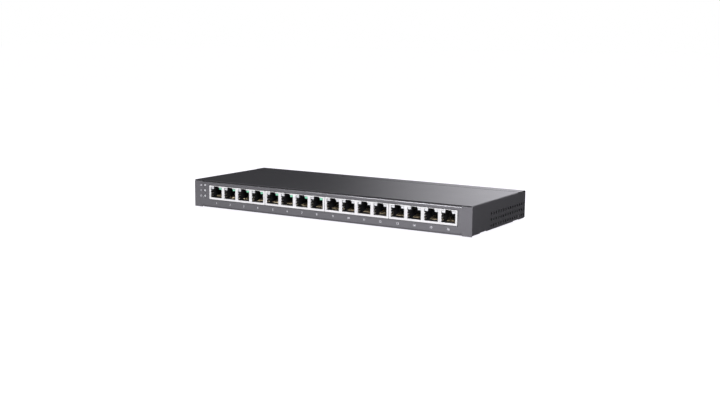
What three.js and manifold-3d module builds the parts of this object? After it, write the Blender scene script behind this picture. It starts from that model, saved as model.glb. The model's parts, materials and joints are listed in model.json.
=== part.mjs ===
// Sixteen-port desktop network switch in a folded sheet-steel case.
// Millimetres, +X to the right seen from the front, +Y to the rear, +Z up.
// The origin is on the surface under the feet, at the middle of the object's outline.
import * as THREE from "three";
import { mergeVertices } from "three/addons/utils/BufferGeometryUtils.js";
import Module from "manifold-3d";

const wasm = await Module();
wasm.setup();

// ---- driving dimensions ----

const CASE = { width: 286, depth: 110.5, height: 25.4, sheet: 0.8, bend: 1.2 };
const GAP = 0.3;
const FRONT_PROUD = 0.4;
const REAR_PROUD = 2.4;

const BASE = { frontBend: 2.4, tabWidth: 9.3, relief: 3.2, flange: 5 };
const LIP = { bend: 2.4, height: 2.5, notchHalf: 7, notchTop: 3 };
const COVER = { tabLength: 9.6, tabWidth: 12, tabY: [-34, 34], screwInset: 5.8 };
const COVER_FLANGE = { width: 7, inset: 0.4, above: 2, below: 1.6 };
const REAR = { floorFlange: 9, strip: 14.5, seam: 0.5, halfFloor: 138 };
const VENT = { radius: 1.25, sides: 8, columns: 15, pitch: 5, fromFront: 37.8 };
const VENT_ROWS = { count: 3, pitch: 5.05, lowest: 5.6 };

const FOOT = { height: 1.5, radius: 6, fromSide: 22, fromEnd: 19 };
const KEYHOLE = { x: 90, y: 6, head: 4, slot: 2, run: 8 };

const GANG = { count: 4, ports: 4, pitch: 63.97, width: 63.65, portPitch: 15.74, firstFromLeft: 49.3 };
const SHELL = { bottom: 9.4, height: 12.95, depth: 16.5, wall: 0.5, cornerRadius: 0.6 };
const PORT = { width: 12.6, sill: 1.9, height: 9.75, keyWidth: 3.9, keyHeight: 0.5, depth: 13.2 };
const RAMP = { start: 6, height: 1.1, half: 4.6 };
const LENS = { width: 2.85, height: 1.5, inset: 0.25, bar: 1.2, endWall: 1 };

const STATUS = { count: 3, fromLeft: 11.75, lowest: 12, pitch: 5.05, hole: 1.5 };
const PIPE = { radius: 1.2, legRadius: 1.15, firstLeg: 3.2, legStep: 4 };
const HOLDER = { width: 7, height: 1, hole: 1.55, frontMargin: 2.2, rearMargin: 3 };

const BOARD = { top: 9.1, thickness: 1.6, width: 276, fromFront: 1.6, fromRear: 4.2 };
const STANDOFF = { radius: 3, bore: 1.5, floor: 0.8, x: 129, y: [-27, 38] };

// Screws: head radius, head height, shank radius, shank length.
const CASE_SCREW = { head: 2.8, headHeight: 0.9, shank: 1.25, length: 3.8 };
const REAR_SCREW = { head: 2.6, headHeight: 1.3, shank: 1.25, length: 4.5, x: 139.4, z: 14.2 };
const BOARD_SCREW = { head: 2.9, headHeight: 1.7, shank: 1.2, length: 4.6 };
const PANEL_SCREW_X = 66;
const SCREW_HOLE = 1.6;

const INLET = { x: 104, z: 15.4, width: 10, depth: 14, height: 11, nose: 4.6, noseClearance: 0.4 };
const INLET_BORE = { radius: 3.2, depth: 9.5, pin: 1, pinRoot: 2, pinRecess: 1.5 };
const GROUND = { x: 122, z: 15.4, washer: 4.6, thickness: 0.6 };
const GROUND_SCREW = { head: 3.8, headHeight: 1.2, shank: 1.9, length: 7 };
const RESET = { x: 84, z: 12.9, hole: 1.4, plunger: 1, recess: 1.2, travel: 0.5 };
const RESET_COLLAR = { radius: 1.7, thickness: 1.2, cover: 1 };
const RESET_BODY = { width: 7, depth: 5.4, height: 7, behindPanel: 1.6 };
const LOCK_SLOT = { x: -124, z: 14.5, width: 7, height: 3, radius: 0.8 };

const CHIP = { x: -20, y: 4, size: 24, height: 1.4, pad: 0.5 };
const HEATSINK = { size: 38, base: 2, fins: 9, finHeight: 8, finThick: 1.2 };
const MAGNETICS = { width: 24, depth: 14, height: 6.2, y: -30 };
const POWER_CHIP = { x: [38, 64], y: 4, size: 9, height: 1.2 };
const CAPACITOR = { x: [90, 108], y: 22, radius: 6.25, height: 15 };
const INDUCTOR = { x: 68, y: 28, size: 12.5, height: 7 };
const SHEET = { width: 128, depth: 78, thickness: 0.4 };

// ---- places worked out from them ----

const HALF = CASE.width / 2;
const LEFT = -HALF;
const Y_SHIFT = (FRONT_PROUD - REAR_PROUD) / 2;
const FRONT = -CASE.depth / 2 + Y_SHIFT;
const BACK = CASE.depth / 2 + Y_SHIFT;
const UNDERSIDE = FOOT.height;
const FLOOR = UNDERSIDE + CASE.sheet;
const TOP = UNDERSIDE + CASE.height;
const CEILING = TOP - CASE.sheet;
const WALL_INNER = HALF - CASE.sheet;
const ON_FLOOR = FLOOR + GAP;
const ON_BOARD = BOARD.top + GAP;
const SHELL_TOP = SHELL.bottom + SHELL.height;
const SHELL_FRONT = FRONT - FRONT_PROUD;
const SEAM = BACK - REAR.strip;
const REAR_FLANGE = BACK - CASE.sheet - GAP;
const TAB_SCREW_X = WALL_INNER - COVER.screwInset;
const PANEL_SCREW_Y = BACK - CASE.sheet - REAR.floorFlange / 2;

const range = (count) => Array.from({ length: count }, (_, i) => i);
const gangCentre = (gang) => LEFT + GANG.firstFromLeft + gang * GANG.pitch;
const portCentres = (gang) => {
  const first = gangCentre(gang) - ((GANG.ports - 1) / 2) * GANG.portPitch;
  return range(GANG.ports).map((port) => first + port * GANG.portPitch);
};

// ---- solids ----

function solid(geometry) {
  const bare = geometry.index ? geometry.toNonIndexed() : geometry.clone();
  bare.deleteAttribute("normal");
  bare.deleteAttribute("uv");
  const merged = mergeVertices(bare, 1e-4);
  return new wasm.Manifold(
    new wasm.Mesh({
      numProp: 3,
      vertProperties: merged.attributes.position.array,
      triVerts: new Uint32Array(merged.index.array),
    }),
  );
}

function geometryOf(shape) {
  const mesh = shape.getMesh();
  const geometry = new THREE.BufferGeometry();
  geometry.setAttribute("position", new THREE.BufferAttribute(mesh.vertProperties, 3));
  geometry.setIndex(new THREE.BufferAttribute(mesh.triVerts, 1));
  geometry.computeVertexNormals();
  return geometry;
}

const fuse = (...shapes) => shapes.flat().reduce((whole, shape) => whole.add(shape));
const cut = (shape, ...tools) => tools.flat().reduce((rest, tool) => rest.subtract(tool), shape);

// A block between two opposite corners.
function block(x0, x1, y0, y1, z0, z1) {
  const geometry = new THREE.BoxGeometry(x1 - x0, y1 - y0, z1 - z0);
  geometry.translate((x0 + x1) / 2, (y0 + y1) / 2, (z0 + z1) / 2);
  return solid(geometry);
}

// A block centred on x and y, standing on z.
function standing(x, y, z, width, depth, height) {
  return block(x - width / 2, x + width / 2, y - depth / 2, y + depth / 2, z, z + height);
}

function cylinder(radius, length, sides) {
  const geometry = new THREE.CylinderGeometry(radius, radius, length, sides);
  geometry.rotateY(Math.PI / sides);
  return geometry;
}

function rodX(x0, x1, y, z, radius, sides = 16) {
  const geometry = cylinder(radius, x1 - x0, sides);
  geometry.rotateZ(Math.PI / 2);
  geometry.translate((x0 + x1) / 2, y, z);
  return solid(geometry);
}

function rodY(x, z, y0, y1, radius, sides = 16) {
  const geometry = cylinder(radius, y1 - y0, sides);
  geometry.translate(x, (y0 + y1) / 2, z);
  return solid(geometry);
}

function rodZ(x, y, z0, z1, radius, sides = 16) {
  const geometry = cylinder(radius, z1 - z0, sides);
  geometry.rotateX(Math.PI / 2);
  geometry.translate(x, y, (z0 + z1) / 2);
  return solid(geometry);
}

// A profile of [radius, height] points turned about an axis that points along +Z.
function turned(profile, sides = 20) {
  const points = profile.map(([radius, height]) => new THREE.Vector2(radius, height));
  const geometry = new THREE.LatheGeometry(points, sides);
  geometry.rotateX(Math.PI / 2);
  return geometry;
}

function extruded(shape, depth) {
  return new THREE.ExtrudeGeometry(shape, { depth, bevelEnabled: false, curveSegments: 4 });
}

// A flat outline in Y and Z, carried from x0 to x1.
function alongX(shape, x0, x1) {
  const geometry = extruded(shape, x1 - x0);
  geometry.applyMatrix4(new THREE.Matrix4().set(0, 0, 1, x0, 1, 0, 0, 0, 0, 1, 0, 0, 0, 0, 0, 1));
  return solid(geometry);
}

// A flat outline in X and Z, carried from y0 to y1.
function alongY(shape, y0, y1) {
  const geometry = extruded(shape, y1 - y0);
  geometry.applyMatrix4(new THREE.Matrix4().set(1, 0, 0, 0, 0, 0, -1, y1, 0, 1, 0, 0, 0, 0, 0, 1));
  return solid(geometry);
}

// Sheet metal seen edge on. The corners run along its outer face, and every fold turns left by a right
// angle, so the sheet's thickness lies on the left. Each fold has its own outer radius.
function foldedSheet(corners, radii) {
  const points = corners.map(([u, v]) => new THREE.Vector2(u, v));
  const along = range(points.length - 1).map((i) => points[i + 1].clone().sub(points[i]).normalize());
  const leftOf = (run) => new THREE.Vector2(-run.y, run.x);
  const outer = [points[0]];
  const inner = [points[0].clone().addScaledVector(leftOf(along[0]), CASE.sheet)];
  radii.forEach((radius, fold) => {
    const run = along[fold];
    const corner = points[fold + 1].clone();
    const centre = corner.addScaledVector(run, -radius).addScaledVector(leftOf(run), radius);
    const start = Math.atan2(-run.x, run.y);
    for (const step of range(5)) {
      const angle = start + (Math.PI / 2) * (step / 4);
      const ray = new THREE.Vector2(Math.cos(angle), Math.sin(angle));
      outer.push(centre.clone().addScaledVector(ray, radius));
      inner.push(centre.clone().addScaledVector(ray, radius - CASE.sheet));
    }
  });
  const last = points[points.length - 1];
  outer.push(last);
  inner.push(last.clone().addScaledVector(leftOf(along[along.length - 1]), CASE.sheet));
  return new THREE.Shape([...outer, ...inner.reverse()]);
}

// A rectangle with round corners in X and Z.
function roundedRectangle(x0, x1, z0, z1, radius) {
  const shape = new THREE.Shape();
  shape.absarc(x1 - radius, z0 + radius, radius, -Math.PI / 2, 0);
  shape.absarc(x1 - radius, z1 - radius, radius, 0, Math.PI / 2);
  shape.absarc(x0 + radius, z1 - radius, radius, Math.PI / 2, Math.PI);
  shape.absarc(x0 + radius, z0 + radius, radius, Math.PI, 1.5 * Math.PI);
  return shape;
}

// A screw with a domed head, seated at z = 0 with its head above and its shank below.
function screwGeometry({ head, headHeight, shank, length }) {
  return turned(
    [
      [0, -length],
      [shank, -length],
      [shank, 0],
      [head, 0],
      [head, headHeight * 0.45],
      [head * 0.82, headHeight * 0.85],
      [head * 0.55, headHeight],
      [0, headHeight],
    ],
    16,
  );
}

// ---- finishes ----

function finish(color, roughness, metalness) {
  return new THREE.MeshStandardMaterial({ color, roughness, metalness });
}

const FINISH = {
  frontPaint: finish(0x77777c, 0.6, 0.2),
  coverPaint: finish(0x3f3f44, 0.55, 0.2),
  rubber: finish(0x1b1b1c, 0.9, 0),
  shell: finish(0xe6e6e8, 0.3, 0.9),
  blackPlastic: finish(0x1a1a1d, 0.6, 0),
  lens: finish(0xe8ece9, 0.25, 0),
  board: finish(0x1f5a3a, 0.55, 0),
  zinc: finish(0xc4c6c8, 0.35, 0.9),
  blackScrew: finish(0x242427, 0.45, 0.7),
  aluminium: finish(0x2c2d30, 0.5, 0.7),
  chip: finish(0x202124, 0.6, 0),
  pad: finish(0x8d9398, 0.8, 0),
  film: finish(0xd8d8d2, 0.7, 0),
  ferrite: finish(0x3b3c3f, 0.75, 0.1),
  sleeve: finish(0x23262d, 0.45, 0),
};

const device = new THREE.Group();

function addMesh(name, geometry, look) {
  const mesh = new THREE.Mesh(geometry, look);
  mesh.name = name;
  device.add(mesh);
  return mesh;
}

const add = (name, shape, look) => addMesh(name, geometryOf(shape), look);
const addScrew = (name, size, look) => addMesh(name, screwGeometry(size), look);

// ---- base chassis ----

// A head hole with a narrow slot in front of it: the case drops over a screw head and hooks on.
function keyholeCutter(x) {
  const low = UNDERSIDE - 1;
  const high = FLOOR + 1;
  const slotEnd = KEYHOLE.y - KEYHOLE.run;
  return fuse(
    rodZ(x, KEYHOLE.y, low, high, KEYHOLE.head, 20),
    rodZ(x, slotEnd, low, high, KEYHOLE.slot, 12),
    block(x - KEYHOLE.slot, x + KEYHOLE.slot, slotEnd, KEYHOLE.y, low, high),
  );
}

function baseScrewHoles() {
  const tabHoles = [-1, 1].flatMap((side) => COVER.tabY.map((y) => [side * TAB_SCREW_X, y]));
  const panelHoles = [-1, 1].map((side) => [side * PANEL_SCREW_X, PANEL_SCREW_Y]);
  return [...tabHoles, ...panelHoles].map(([x, y]) => rodZ(x, y, UNDERSIDE - 1, FLOOR + 1, SCREW_HOLE, 12));
}

// Runs the same maker for the left (-1) and the right (+1) side.
const bothSides = (make) => [-1, 1].map(make);

// A block whose x range is given as distances from the middle, on one side.
function sideBlock(side, near, far, y0, y1, z0, z1) {
  const [x0, x1] = side < 0 ? [-far, -near] : [near, far];
  return block(x0, x1, y0, y1, z0, z1);
}

// The low side lips are notched where the cover's screw tabs cross them.
function lipNotches() {
  const start = WALL_INNER - GAP - LIP.bend - 0.1;
  const half = LIP.notchHalf;
  return bothSides((side) =>
    COVER.tabY.map((y) => sideBlock(side, start, HALF, y - half, y + half, 0, ON_FLOOR + LIP.notchTop)),
  ).flat();
}

function jackSlotCutter() {
  const clearance = GAP + 0.05;
  const outline = roundedRectangle(
    gangCentre(0) - GANG.width / 2 - clearance,
    gangCentre(GANG.count - 1) + GANG.width / 2 + clearance,
    SHELL.bottom - clearance,
    SHELL_TOP + clearance,
    SHELL.cornerRadius,
  );
  return alongY(outline, FRONT - 1, FRONT + 3);
}

function statusHoleCutters() {
  const x = LEFT + STATUS.fromLeft;
  return range(STATUS.count).map((i) =>
    rodY(x, STATUS.lowest + i * STATUS.pitch, FRONT - 1, FRONT + 3, STATUS.hole, 20),
  );
}

// Front wall and bottom plate bent from one sheet. The wall's two ends stay flat down to the underside.
function baseChassis() {
  const flatHalf = HALF - BASE.tabWidth;
  const wallTop = CEILING - GAP;
  const wallBack = FRONT + CASE.sheet;
  const frontFold = foldedSheet(
    [
      [FRONT + BASE.flange, wallTop],
      [FRONT, wallTop],
      [FRONT, UNDERSIDE],
      [BACK, UNDERSIDE],
    ],
    [CASE.bend, BASE.frontBend],
  );
  const lipOuter = WALL_INNER - GAP;
  const lipTop = UNDERSIDE + LIP.height;
  const pan = foldedSheet(
    [
      [-lipOuter, lipTop],
      [-lipOuter, UNDERSIDE],
      [lipOuter, UNDERSIDE],
      [lipOuter, lipTop],
    ],
    [LIP.bend, LIP.bend],
  );
  const wallEnd = (side) =>
    fuse(
      sideBlock(side, flatHalf - 1, HALF, FRONT, wallBack, UNDERSIDE + BASE.frontBend, wallTop - CASE.bend),
      sideBlock(side, flatHalf, HALF, FRONT, wallBack, UNDERSIDE, wallTop),
    );
  const body = fuse(
    alongX(frontFold, -flatHalf, flatHalf),
    bothSides(wallEnd),
    alongY(pan, FRONT + BASE.relief, REAR_FLANGE - CASE.sheet - GAP),
  );
  return cut(
    body,
    jackSlotCutter(),
    statusHoleCutters(),
    baseScrewHoles(),
    lipNotches(),
    keyholeCutter(-KEYHOLE.x),
    keyholeCutter(KEYHOLE.x),
  );
}

// ---- top cover ----

function ventCutters() {
  const heights = range(VENT_ROWS.count).map((row) => VENT_ROWS.lowest + row * VENT_ROWS.pitch);
  const places = range(VENT.columns).map((column) => FRONT + VENT.fromFront + column * VENT.pitch);
  return bothSides((side) =>
    places.flatMap((y) =>
      heights.map((z) => {
        const [x0, x1] = side < 0 ? [-HALF - 1, -WALL_INNER + 1] : [WALL_INNER - 1, HALF + 1];
        return rodX(x0, x1, y, z, VENT.radius, VENT.sides);
      }),
    ),
  ).flat();
}

// Rounds the upright fold between a side wall and its rear flange.
function rearCornerCutter(side) {
  const centreX = HALF - CASE.bend;
  const centreY = REAR_FLANGE - CASE.bend;
  const corner = sideBlock(side, centreX, HALF + 1, centreY, REAR_FLANGE + 1, 0, TOP + 1);
  return cut(corner, rodZ(side * centreX, centreY, -1, TOP + 2, CASE.bend, 24));
}

// Top and both sides bent from one sheet, with a front edge over the base's front wall.
function topCover() {
  const outline = foldedSheet(
    [
      [HALF, FLOOR],
      [HALF, TOP],
      [-HALF, TOP],
      [-HALF, FLOOR],
    ],
    [CASE.bend, CASE.bend],
  );
  const sideStart = FRONT + CASE.sheet + GAP;
  const tab = (side, y) =>
    sideBlock(
      side,
      WALL_INNER - COVER.tabLength,
      WALL_INNER + 0.2,
      y - COVER.tabWidth / 2,
      y + COVER.tabWidth / 2,
      ON_FLOOR,
      ON_FLOOR + CASE.sheet,
    );
  const rearFlange = (side) =>
    sideBlock(
      side,
      HALF - COVER_FLANGE.width,
      HALF - COVER_FLANGE.inset,
      REAR_FLANGE - CASE.sheet,
      REAR_FLANGE,
      ON_FLOOR + COVER_FLANGE.above,
      CEILING - COVER_FLANGE.below,
    );
  const frontEdge = cut(
    alongY(outline, FRONT, sideStart + 1),
    block(-HALF - 1, HALF + 1, FRONT - 1, sideStart + 2, 0, CEILING),
  );
  const body = fuse(
    alongY(outline, sideStart, REAR_FLANGE),
    frontEdge,
    bothSides((side) => COVER.tabY.map((y) => tab(side, y))).flat(),
    bothSides(rearFlange),
  );
  const tabHoles = bothSides((side) =>
    COVER.tabY.map((y) => rodZ(side * TAB_SCREW_X, y, FLOOR, ON_FLOOR + 2, SCREW_HOLE, 12)),
  ).flat();
  return cut(
    body,
    block(-HALF - 1, HALF + 1, SEAM, BACK + 1, CEILING - GAP, TOP + 1),
    bothSides(rearCornerCutter),
    ventCutters(),
    tabHoles,
    bothSides((side) => rodY(side * REAR_SCREW.x, REAR_SCREW.z, REAR_FLANGE - 2, BACK + 1, SCREW_HOLE, 12)),
  );
}

// ---- rear panel ----

function rearPanel() {
  const outline = foldedSheet(
    [
      [BACK - REAR.floorFlange, ON_FLOOR],
      [BACK, ON_FLOOR],
      [BACK, TOP],
      [SEAM + REAR.seam, TOP],
    ],
    [CASE.bend, CASE.bend],
  );
  const through = [BACK - 3, BACK + 1];
  const lock = roundedRectangle(
    LOCK_SLOT.x - LOCK_SLOT.width / 2,
    LOCK_SLOT.x + LOCK_SLOT.width / 2,
    LOCK_SLOT.z - LOCK_SLOT.height / 2,
    LOCK_SLOT.z + LOCK_SLOT.height / 2,
    LOCK_SLOT.radius,
  );
  const sideClearance = (side) =>
    sideBlock(side, REAR.halfFloor, HALF + 1, BACK - REAR.strip, BACK - CASE.sheet, 0, CEILING - 2);
  const floorHoles = bothSides((side) =>
    rodZ(side * PANEL_SCREW_X, PANEL_SCREW_Y, FLOOR, ON_FLOOR + 2, SCREW_HOLE, 12),
  );
  return cut(
    alongX(outline, -HALF, HALF),
    bothSides(sideClearance),
    bothSides((side) => rodY(side * REAR_SCREW.x, REAR_SCREW.z, ...through, SCREW_HOLE, 12)),
    rodY(INLET.x, INLET.z, ...through, INLET.nose + INLET.noseClearance, 24),
    rodY(GROUND.x, GROUND.z, ...through, GROUND_SCREW.shank + GAP, 16),
    rodY(RESET.x, RESET.z, ...through, RESET.hole, 16),
    alongY(lock, ...through),
    floorHoles,
  );
}

// ---- jack gangs ----

// Thin metal shell: a front frame with an opening for each port, and four sides.
function jackShell(gang) {
  const x0 = gangCentre(gang) - GANG.width / 2;
  const x1 = gangCentre(gang) + GANG.width / 2;
  const back = SHELL_FRONT + SHELL.depth;
  const wall = SHELL.wall;
  const outline = roundedRectangle(x0, x1, SHELL.bottom, SHELL_TOP, SHELL.cornerRadius);
  const outer = alongY(outline, SHELL_FRONT, back);
  const [low, high] = [SHELL.bottom + wall, SHELL_TOP - wall];
  const hollow = block(x0 + wall, x1 - wall, SHELL_FRONT + wall, back + 1, low, high);
  const sill = SHELL.bottom + PORT.sill;
  const openings = portCentres(gang).map((x) =>
    fuse(
      standing(x, SHELL_FRONT, sill, PORT.width, 3, PORT.height),
      standing(x, SHELL_FRONT, sill + PORT.height - 0.1, PORT.keyWidth, 3, PORT.keyHeight + 0.1),
    ),
  );
  return cut(outer, hollow, openings);
}

// Moulded body inside the shell, with four sockets and a sloping contact bed at the bottom of each.
function jackHousing(gang) {
  const margin = SHELL.wall + GAP;
  const x = gangCentre(gang);
  const front = SHELL_FRONT + margin;
  const back = SHELL_FRONT + SHELL.depth - 0.5;
  const sill = SHELL.bottom + PORT.sill;
  const end = SHELL_FRONT + PORT.depth;
  const low = SHELL.bottom + margin;
  const high = SHELL_TOP - margin;
  const half = GANG.width / 2 - margin;
  const sockets = portCentres(gang).map((centre) =>
    block(centre - PORT.width / 2, centre + PORT.width / 2, front - 1, end, sill, sill + PORT.height),
  );
  const slotHalf = half - LENS.endWall;
  const slotBack = end + LENS.bar + GAP;
  const lensSlot = block(x - slotHalf, x + slotHalf, end - 1, slotBack, lensBottom() - GAP, high + 1);
  const bed = new THREE.Shape([
    new THREE.Vector2(SHELL_FRONT + RAMP.start, sill - 0.5),
    new THREE.Vector2(end + 0.5, sill - 0.5),
    new THREE.Vector2(end + 0.5, sill + RAMP.height),
    new THREE.Vector2(SHELL_FRONT + RAMP.start, sill + 0.1),
  ]);
  const beds = portCentres(gang).map((centre) => alongX(bed, centre - RAMP.half, centre + RAMP.half));
  return fuse(cut(block(x - half, x + half, front, back, low, high), sockets, lensSlot), beds);
}

const lensBottom = () => SHELL.bottom + PORT.sill + PORT.height - LENS.inset - LENS.height;

// Clear light guides: two above each socket, joined by a bar behind the sockets.
function lensRow(gang) {
  const z0 = lensBottom();
  const z1 = z0 + LENS.height;
  const end = SHELL_FRONT + PORT.depth;
  const fromCentre = PORT.width / 2 - GAP - LENS.width / 2;
  const fingers = portCentres(gang).flatMap((centre) =>
    bothSides((side) => {
      const left = centre + side * fromCentre - LENS.width / 2;
      return block(left, left + LENS.width, SHELL_FRONT, end + 0.4, z0, z1);
    }),
  );
  const x = gangCentre(gang);
  const half = GANG.width / 2 - SHELL.wall - 2 * GAP - LENS.endWall;
  return fuse(block(x - half, x + half, end, end + LENS.bar - GAP, z0, z1), fingers);
}

// ---- status lights ----

const statusLegs = () => range(STATUS.count).map((i) => FRONT + PIPE.firstLeg + PIPE.legStep * i);

// A light pipe: a round tip in the front wall, and a leg down to the board behind it.
function statusPipe(index) {
  const x = LEFT + STATUS.fromLeft;
  const z = STATUS.lowest + index * STATUS.pitch;
  const legY = statusLegs()[index];
  return fuse(
    rodY(x, z, FRONT - 0.1, legY + PIPE.radius, PIPE.radius, 16),
    rodZ(x, legY, ON_BOARD, z, PIPE.legRadius, 16),
  );
}

// A small block on the board that the three legs pass through.
function lightPipeHolder() {
  const x = LEFT + STATUS.fromLeft;
  const legs = statusLegs();
  const half = HOLDER.width / 2;
  const [y0, y1] = [legs[0] - HOLDER.frontMargin, legs[legs.length - 1] + HOLDER.rearMargin];
  const plate = block(x - half, x + half, y0, y1, ON_BOARD, ON_BOARD + HOLDER.height);
  return cut(
    plate,
    legs.map((y) => rodZ(x, y, 0, TOP, HOLDER.hole, 16)),
  );
}

// ---- feet and screws ----

const FEET = [
  ["foot_front_left", -1, FRONT + FOOT.fromEnd],
  ["foot_front_right", 1, FRONT + FOOT.fromEnd],
  ["foot_rear_left", -1, BACK - FOOT.fromEnd],
  ["foot_rear_right", 1, BACK - FOOT.fromEnd],
];

function footGeometry() {
  const height = FOOT.height - GAP;
  return turned(
    [
      [0, 0],
      [FOOT.radius - 1.1, 0],
      [FOOT.radius - 0.6, 0.3],
      [FOOT.radius, height],
      [0, height],
    ],
    24,
  );
}

// Places a turned part at x, y, z. Facing is "up", "down" or "rear".
function place(mesh, x, y, z, facing = "up") {
  mesh.position.set(x, y, z);
  const tilt = { up: 0, down: Math.PI, rear: -Math.PI / 2 }[facing];
  mesh.rotation.x = tilt;
}

function addFeet() {
  for (const [name, side, y] of FEET) {
    place(addMesh(name, footGeometry(), FINISH.rubber), side * (HALF - FOOT.fromSide), y, 0);
  }
}

function addScrews() {
  const sides = [
    ["left", -1],
    ["right", 1],
  ];
  const ends = ["front", "rear"];
  for (const [sideName, side] of sides) {
    ends.forEach((end, i) => {
      const coverScrew = addScrew(`cover_screw_${end}_${sideName}`, CASE_SCREW, FINISH.blackScrew);
      place(coverScrew, side * TAB_SCREW_X, COVER.tabY[i], UNDERSIDE - GAP, "down");
      const boardScrew = addScrew(`board_screw_${end}_${sideName}`, BOARD_SCREW, FINISH.zinc);
      place(boardScrew, side * STANDOFF.x, STANDOFF.y[i], ON_BOARD);
    });
    const panelScrew = addScrew(`panel_screw_${sideName}`, CASE_SCREW, FINISH.blackScrew);
    place(panelScrew, side * PANEL_SCREW_X, PANEL_SCREW_Y, UNDERSIDE - GAP, "down");
    const rearScrew = addScrew(`rear_screw_${sideName}`, REAR_SCREW, FINISH.blackScrew);
    place(rearScrew, side * REAR_SCREW.x, BACK + GAP, REAR_SCREW.z, "rear");
  }
}

// ---- circuit board and what it carries ----

const boardPoints = bothSides((side) => STANDOFF.y.map((y) => [side * STANDOFF.x, y])).flat();

function circuitBoard() {
  const half = BOARD.width / 2;
  const low = BOARD.top - BOARD.thickness;
  const plate = block(-half, half, FRONT + BOARD.fromFront, BACK - BOARD.fromRear, low, BOARD.top);
  return cut(
    plate,
    boardPoints.map(([x, y]) => rodZ(x, y, low - 1, BOARD.top + 1, STANDOFF.bore, 16)),
  );
}

function standoff(x, y) {
  const top = BOARD.top - BOARD.thickness - GAP;
  const post = rodZ(x, y, ON_FLOOR, top, STANDOFF.radius, 6);
  return cut(post, rodZ(x, y, ON_FLOOR + STANDOFF.floor, top + 1, STANDOFF.bore, 12));
}

function addStandoffs() {
  const names = ["front_left", "rear_left", "front_right", "rear_right"];
  boardPoints.forEach(([x, y], i) => add(`standoff_${names[i]}`, standoff(x, y), FINISH.zinc));
}

function heatsink() {
  const z = ON_BOARD + CHIP.height + CHIP.pad + 2 * GAP;
  const { size, base, fins, finHeight, finThick } = HEATSINK;
  const plate = standing(CHIP.x, CHIP.y, z, size, size, base);
  const pitch = (size - finThick) / (fins - 1);
  const first = CHIP.x - (size - finThick) / 2;
  const root = z + base - 0.2;
  const fin = (i) => standing(first + i * pitch, CHIP.y, root, finThick, size, finHeight + 0.2);
  return fuse(plate, range(fins).map(fin));
}

function addBoardParts() {
  add("circuit_board", circuitBoard(), FINISH.board);
  addStandoffs();
  add("insulating_sheet", standing(0, 0, ON_FLOOR, SHEET.width, SHEET.depth, SHEET.thickness), FINISH.film);
  add("switch_chip", standing(CHIP.x, CHIP.y, ON_BOARD, CHIP.size, CHIP.size, CHIP.height), FINISH.chip);
  const padZ = ON_BOARD + CHIP.height + GAP;
  add("thermal_pad", standing(CHIP.x, CHIP.y, padZ, CHIP.size - 2, CHIP.size - 2, CHIP.pad), FINISH.pad);
  add("heatsink", heatsink(), FINISH.aluminium);
  range(GANG.count).forEach((gang) => {
    const { width, depth, height, y } = MAGNETICS;
    const module = standing(gangCentre(gang), y, ON_BOARD, width, depth, height);
    add(`magnetics_${gang + 1}`, module, FINISH.chip);
  });
  POWER_CHIP.x.forEach((x, i) => {
    const { y, size, height } = POWER_CHIP;
    add(`port_power_chip_${i + 1}`, standing(x, y, ON_BOARD, size, size, height), FINISH.chip);
  });
  CAPACITOR.x.forEach((x, i) => {
    const { y, radius, height } = CAPACITOR;
    const can = turned(
      [
        [0, 0],
        [radius, 0],
        [radius, height - 0.8],
        [radius - 0.8, height],
        [0, height],
      ],
      20,
    );
    place(addMesh(`capacitor_${i + 1}`, can, FINISH.sleeve), x, y, ON_BOARD);
  });
  const { x, y, size, height } = INDUCTOR;
  add("storage_inductor", standing(x, y, ON_BOARD, size, size, height), FINISH.ferrite);
}

// ---- power inlet, ground screw and reset switch ----

function inletBody() {
  const face = REAR_FLANGE;
  const boreEnd = BACK - INLET_BORE.depth;
  return cut(
    fuse(
      standing(INLET.x, face - INLET.depth / 2, ON_BOARD, INLET.width, INLET.depth, INLET.height),
      rodY(INLET.x, INLET.z, face - 1, BACK, INLET.nose, 24),
    ),
    rodY(INLET.x, INLET.z, boreEnd, BACK + 1, INLET_BORE.radius, 24),
    rodY(INLET.x, INLET.z, boreEnd - INLET_BORE.pinRoot - GAP, boreEnd + 1, INLET_BORE.pin + GAP, 12),
  );
}

function addInlet() {
  add("power_inlet_body", inletBody(), FINISH.blackPlastic);
  const { depth, pin, pinRoot, pinRecess } = INLET_BORE;
  const pinShape = rodY(INLET.x, INLET.z, BACK - depth - pinRoot, BACK - pinRecess, pin, 12);
  add("power_inlet_pin", pinShape, FINISH.zinc);
}

function addGroundScrew() {
  const { x, z, washer, thickness } = GROUND;
  const { head, headHeight, shank, length } = GROUND_SCREW;
  const washerStart = BACK + GAP;
  const ring = cut(
    rodY(x, z, washerStart, washerStart + thickness, washer, 24),
    rodY(x, z, washerStart - 1, washerStart + thickness + 1, shank + GAP, 16),
  );
  add("ground_washer", ring, FINISH.zinc);
  const seat = washerStart + thickness + GAP;
  const headShape = rodY(x, z, seat, seat + headHeight, head, 20);
  add("ground_screw", fuse(headShape, rodY(x, z, seat - length, seat + 0.2, shank, 12)), FINISH.zinc);
}

// The button slides in a stepped bore. Its collar stops at the bore's rear shoulder at rest.
function addResetSwitch() {
  const { x, z, plunger, recess, travel } = RESET;
  const { radius, thickness, cover } = RESET_COLLAR;
  const { width, depth, height, behindPanel } = RESET_BODY;
  const face = BACK - CASE.sheet - behindPanel;
  const shoulder = face - cover;
  const pocketEnd = shoulder - thickness - travel - 2 * GAP;
  const body = cut(
    standing(x, face - depth / 2, ON_BOARD, width, depth, height),
    rodY(x, z, shoulder - 0.5, face + 1, plunger + GAP, 16),
    rodY(x, z, pocketEnd, shoulder, radius + GAP, 16),
  );
  add("reset_switch_body", body, FINISH.blackPlastic);
  const collarRear = shoulder - GAP;
  const button = fuse(
    rodY(x, z, collarRear - thickness, collarRear, radius, 16),
    rodY(x, z, collarRear - 0.2, BACK - recess, plunger, 16),
  );
  add("reset_button", button, FINISH.blackPlastic);
}

// ---- assembly ----

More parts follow.
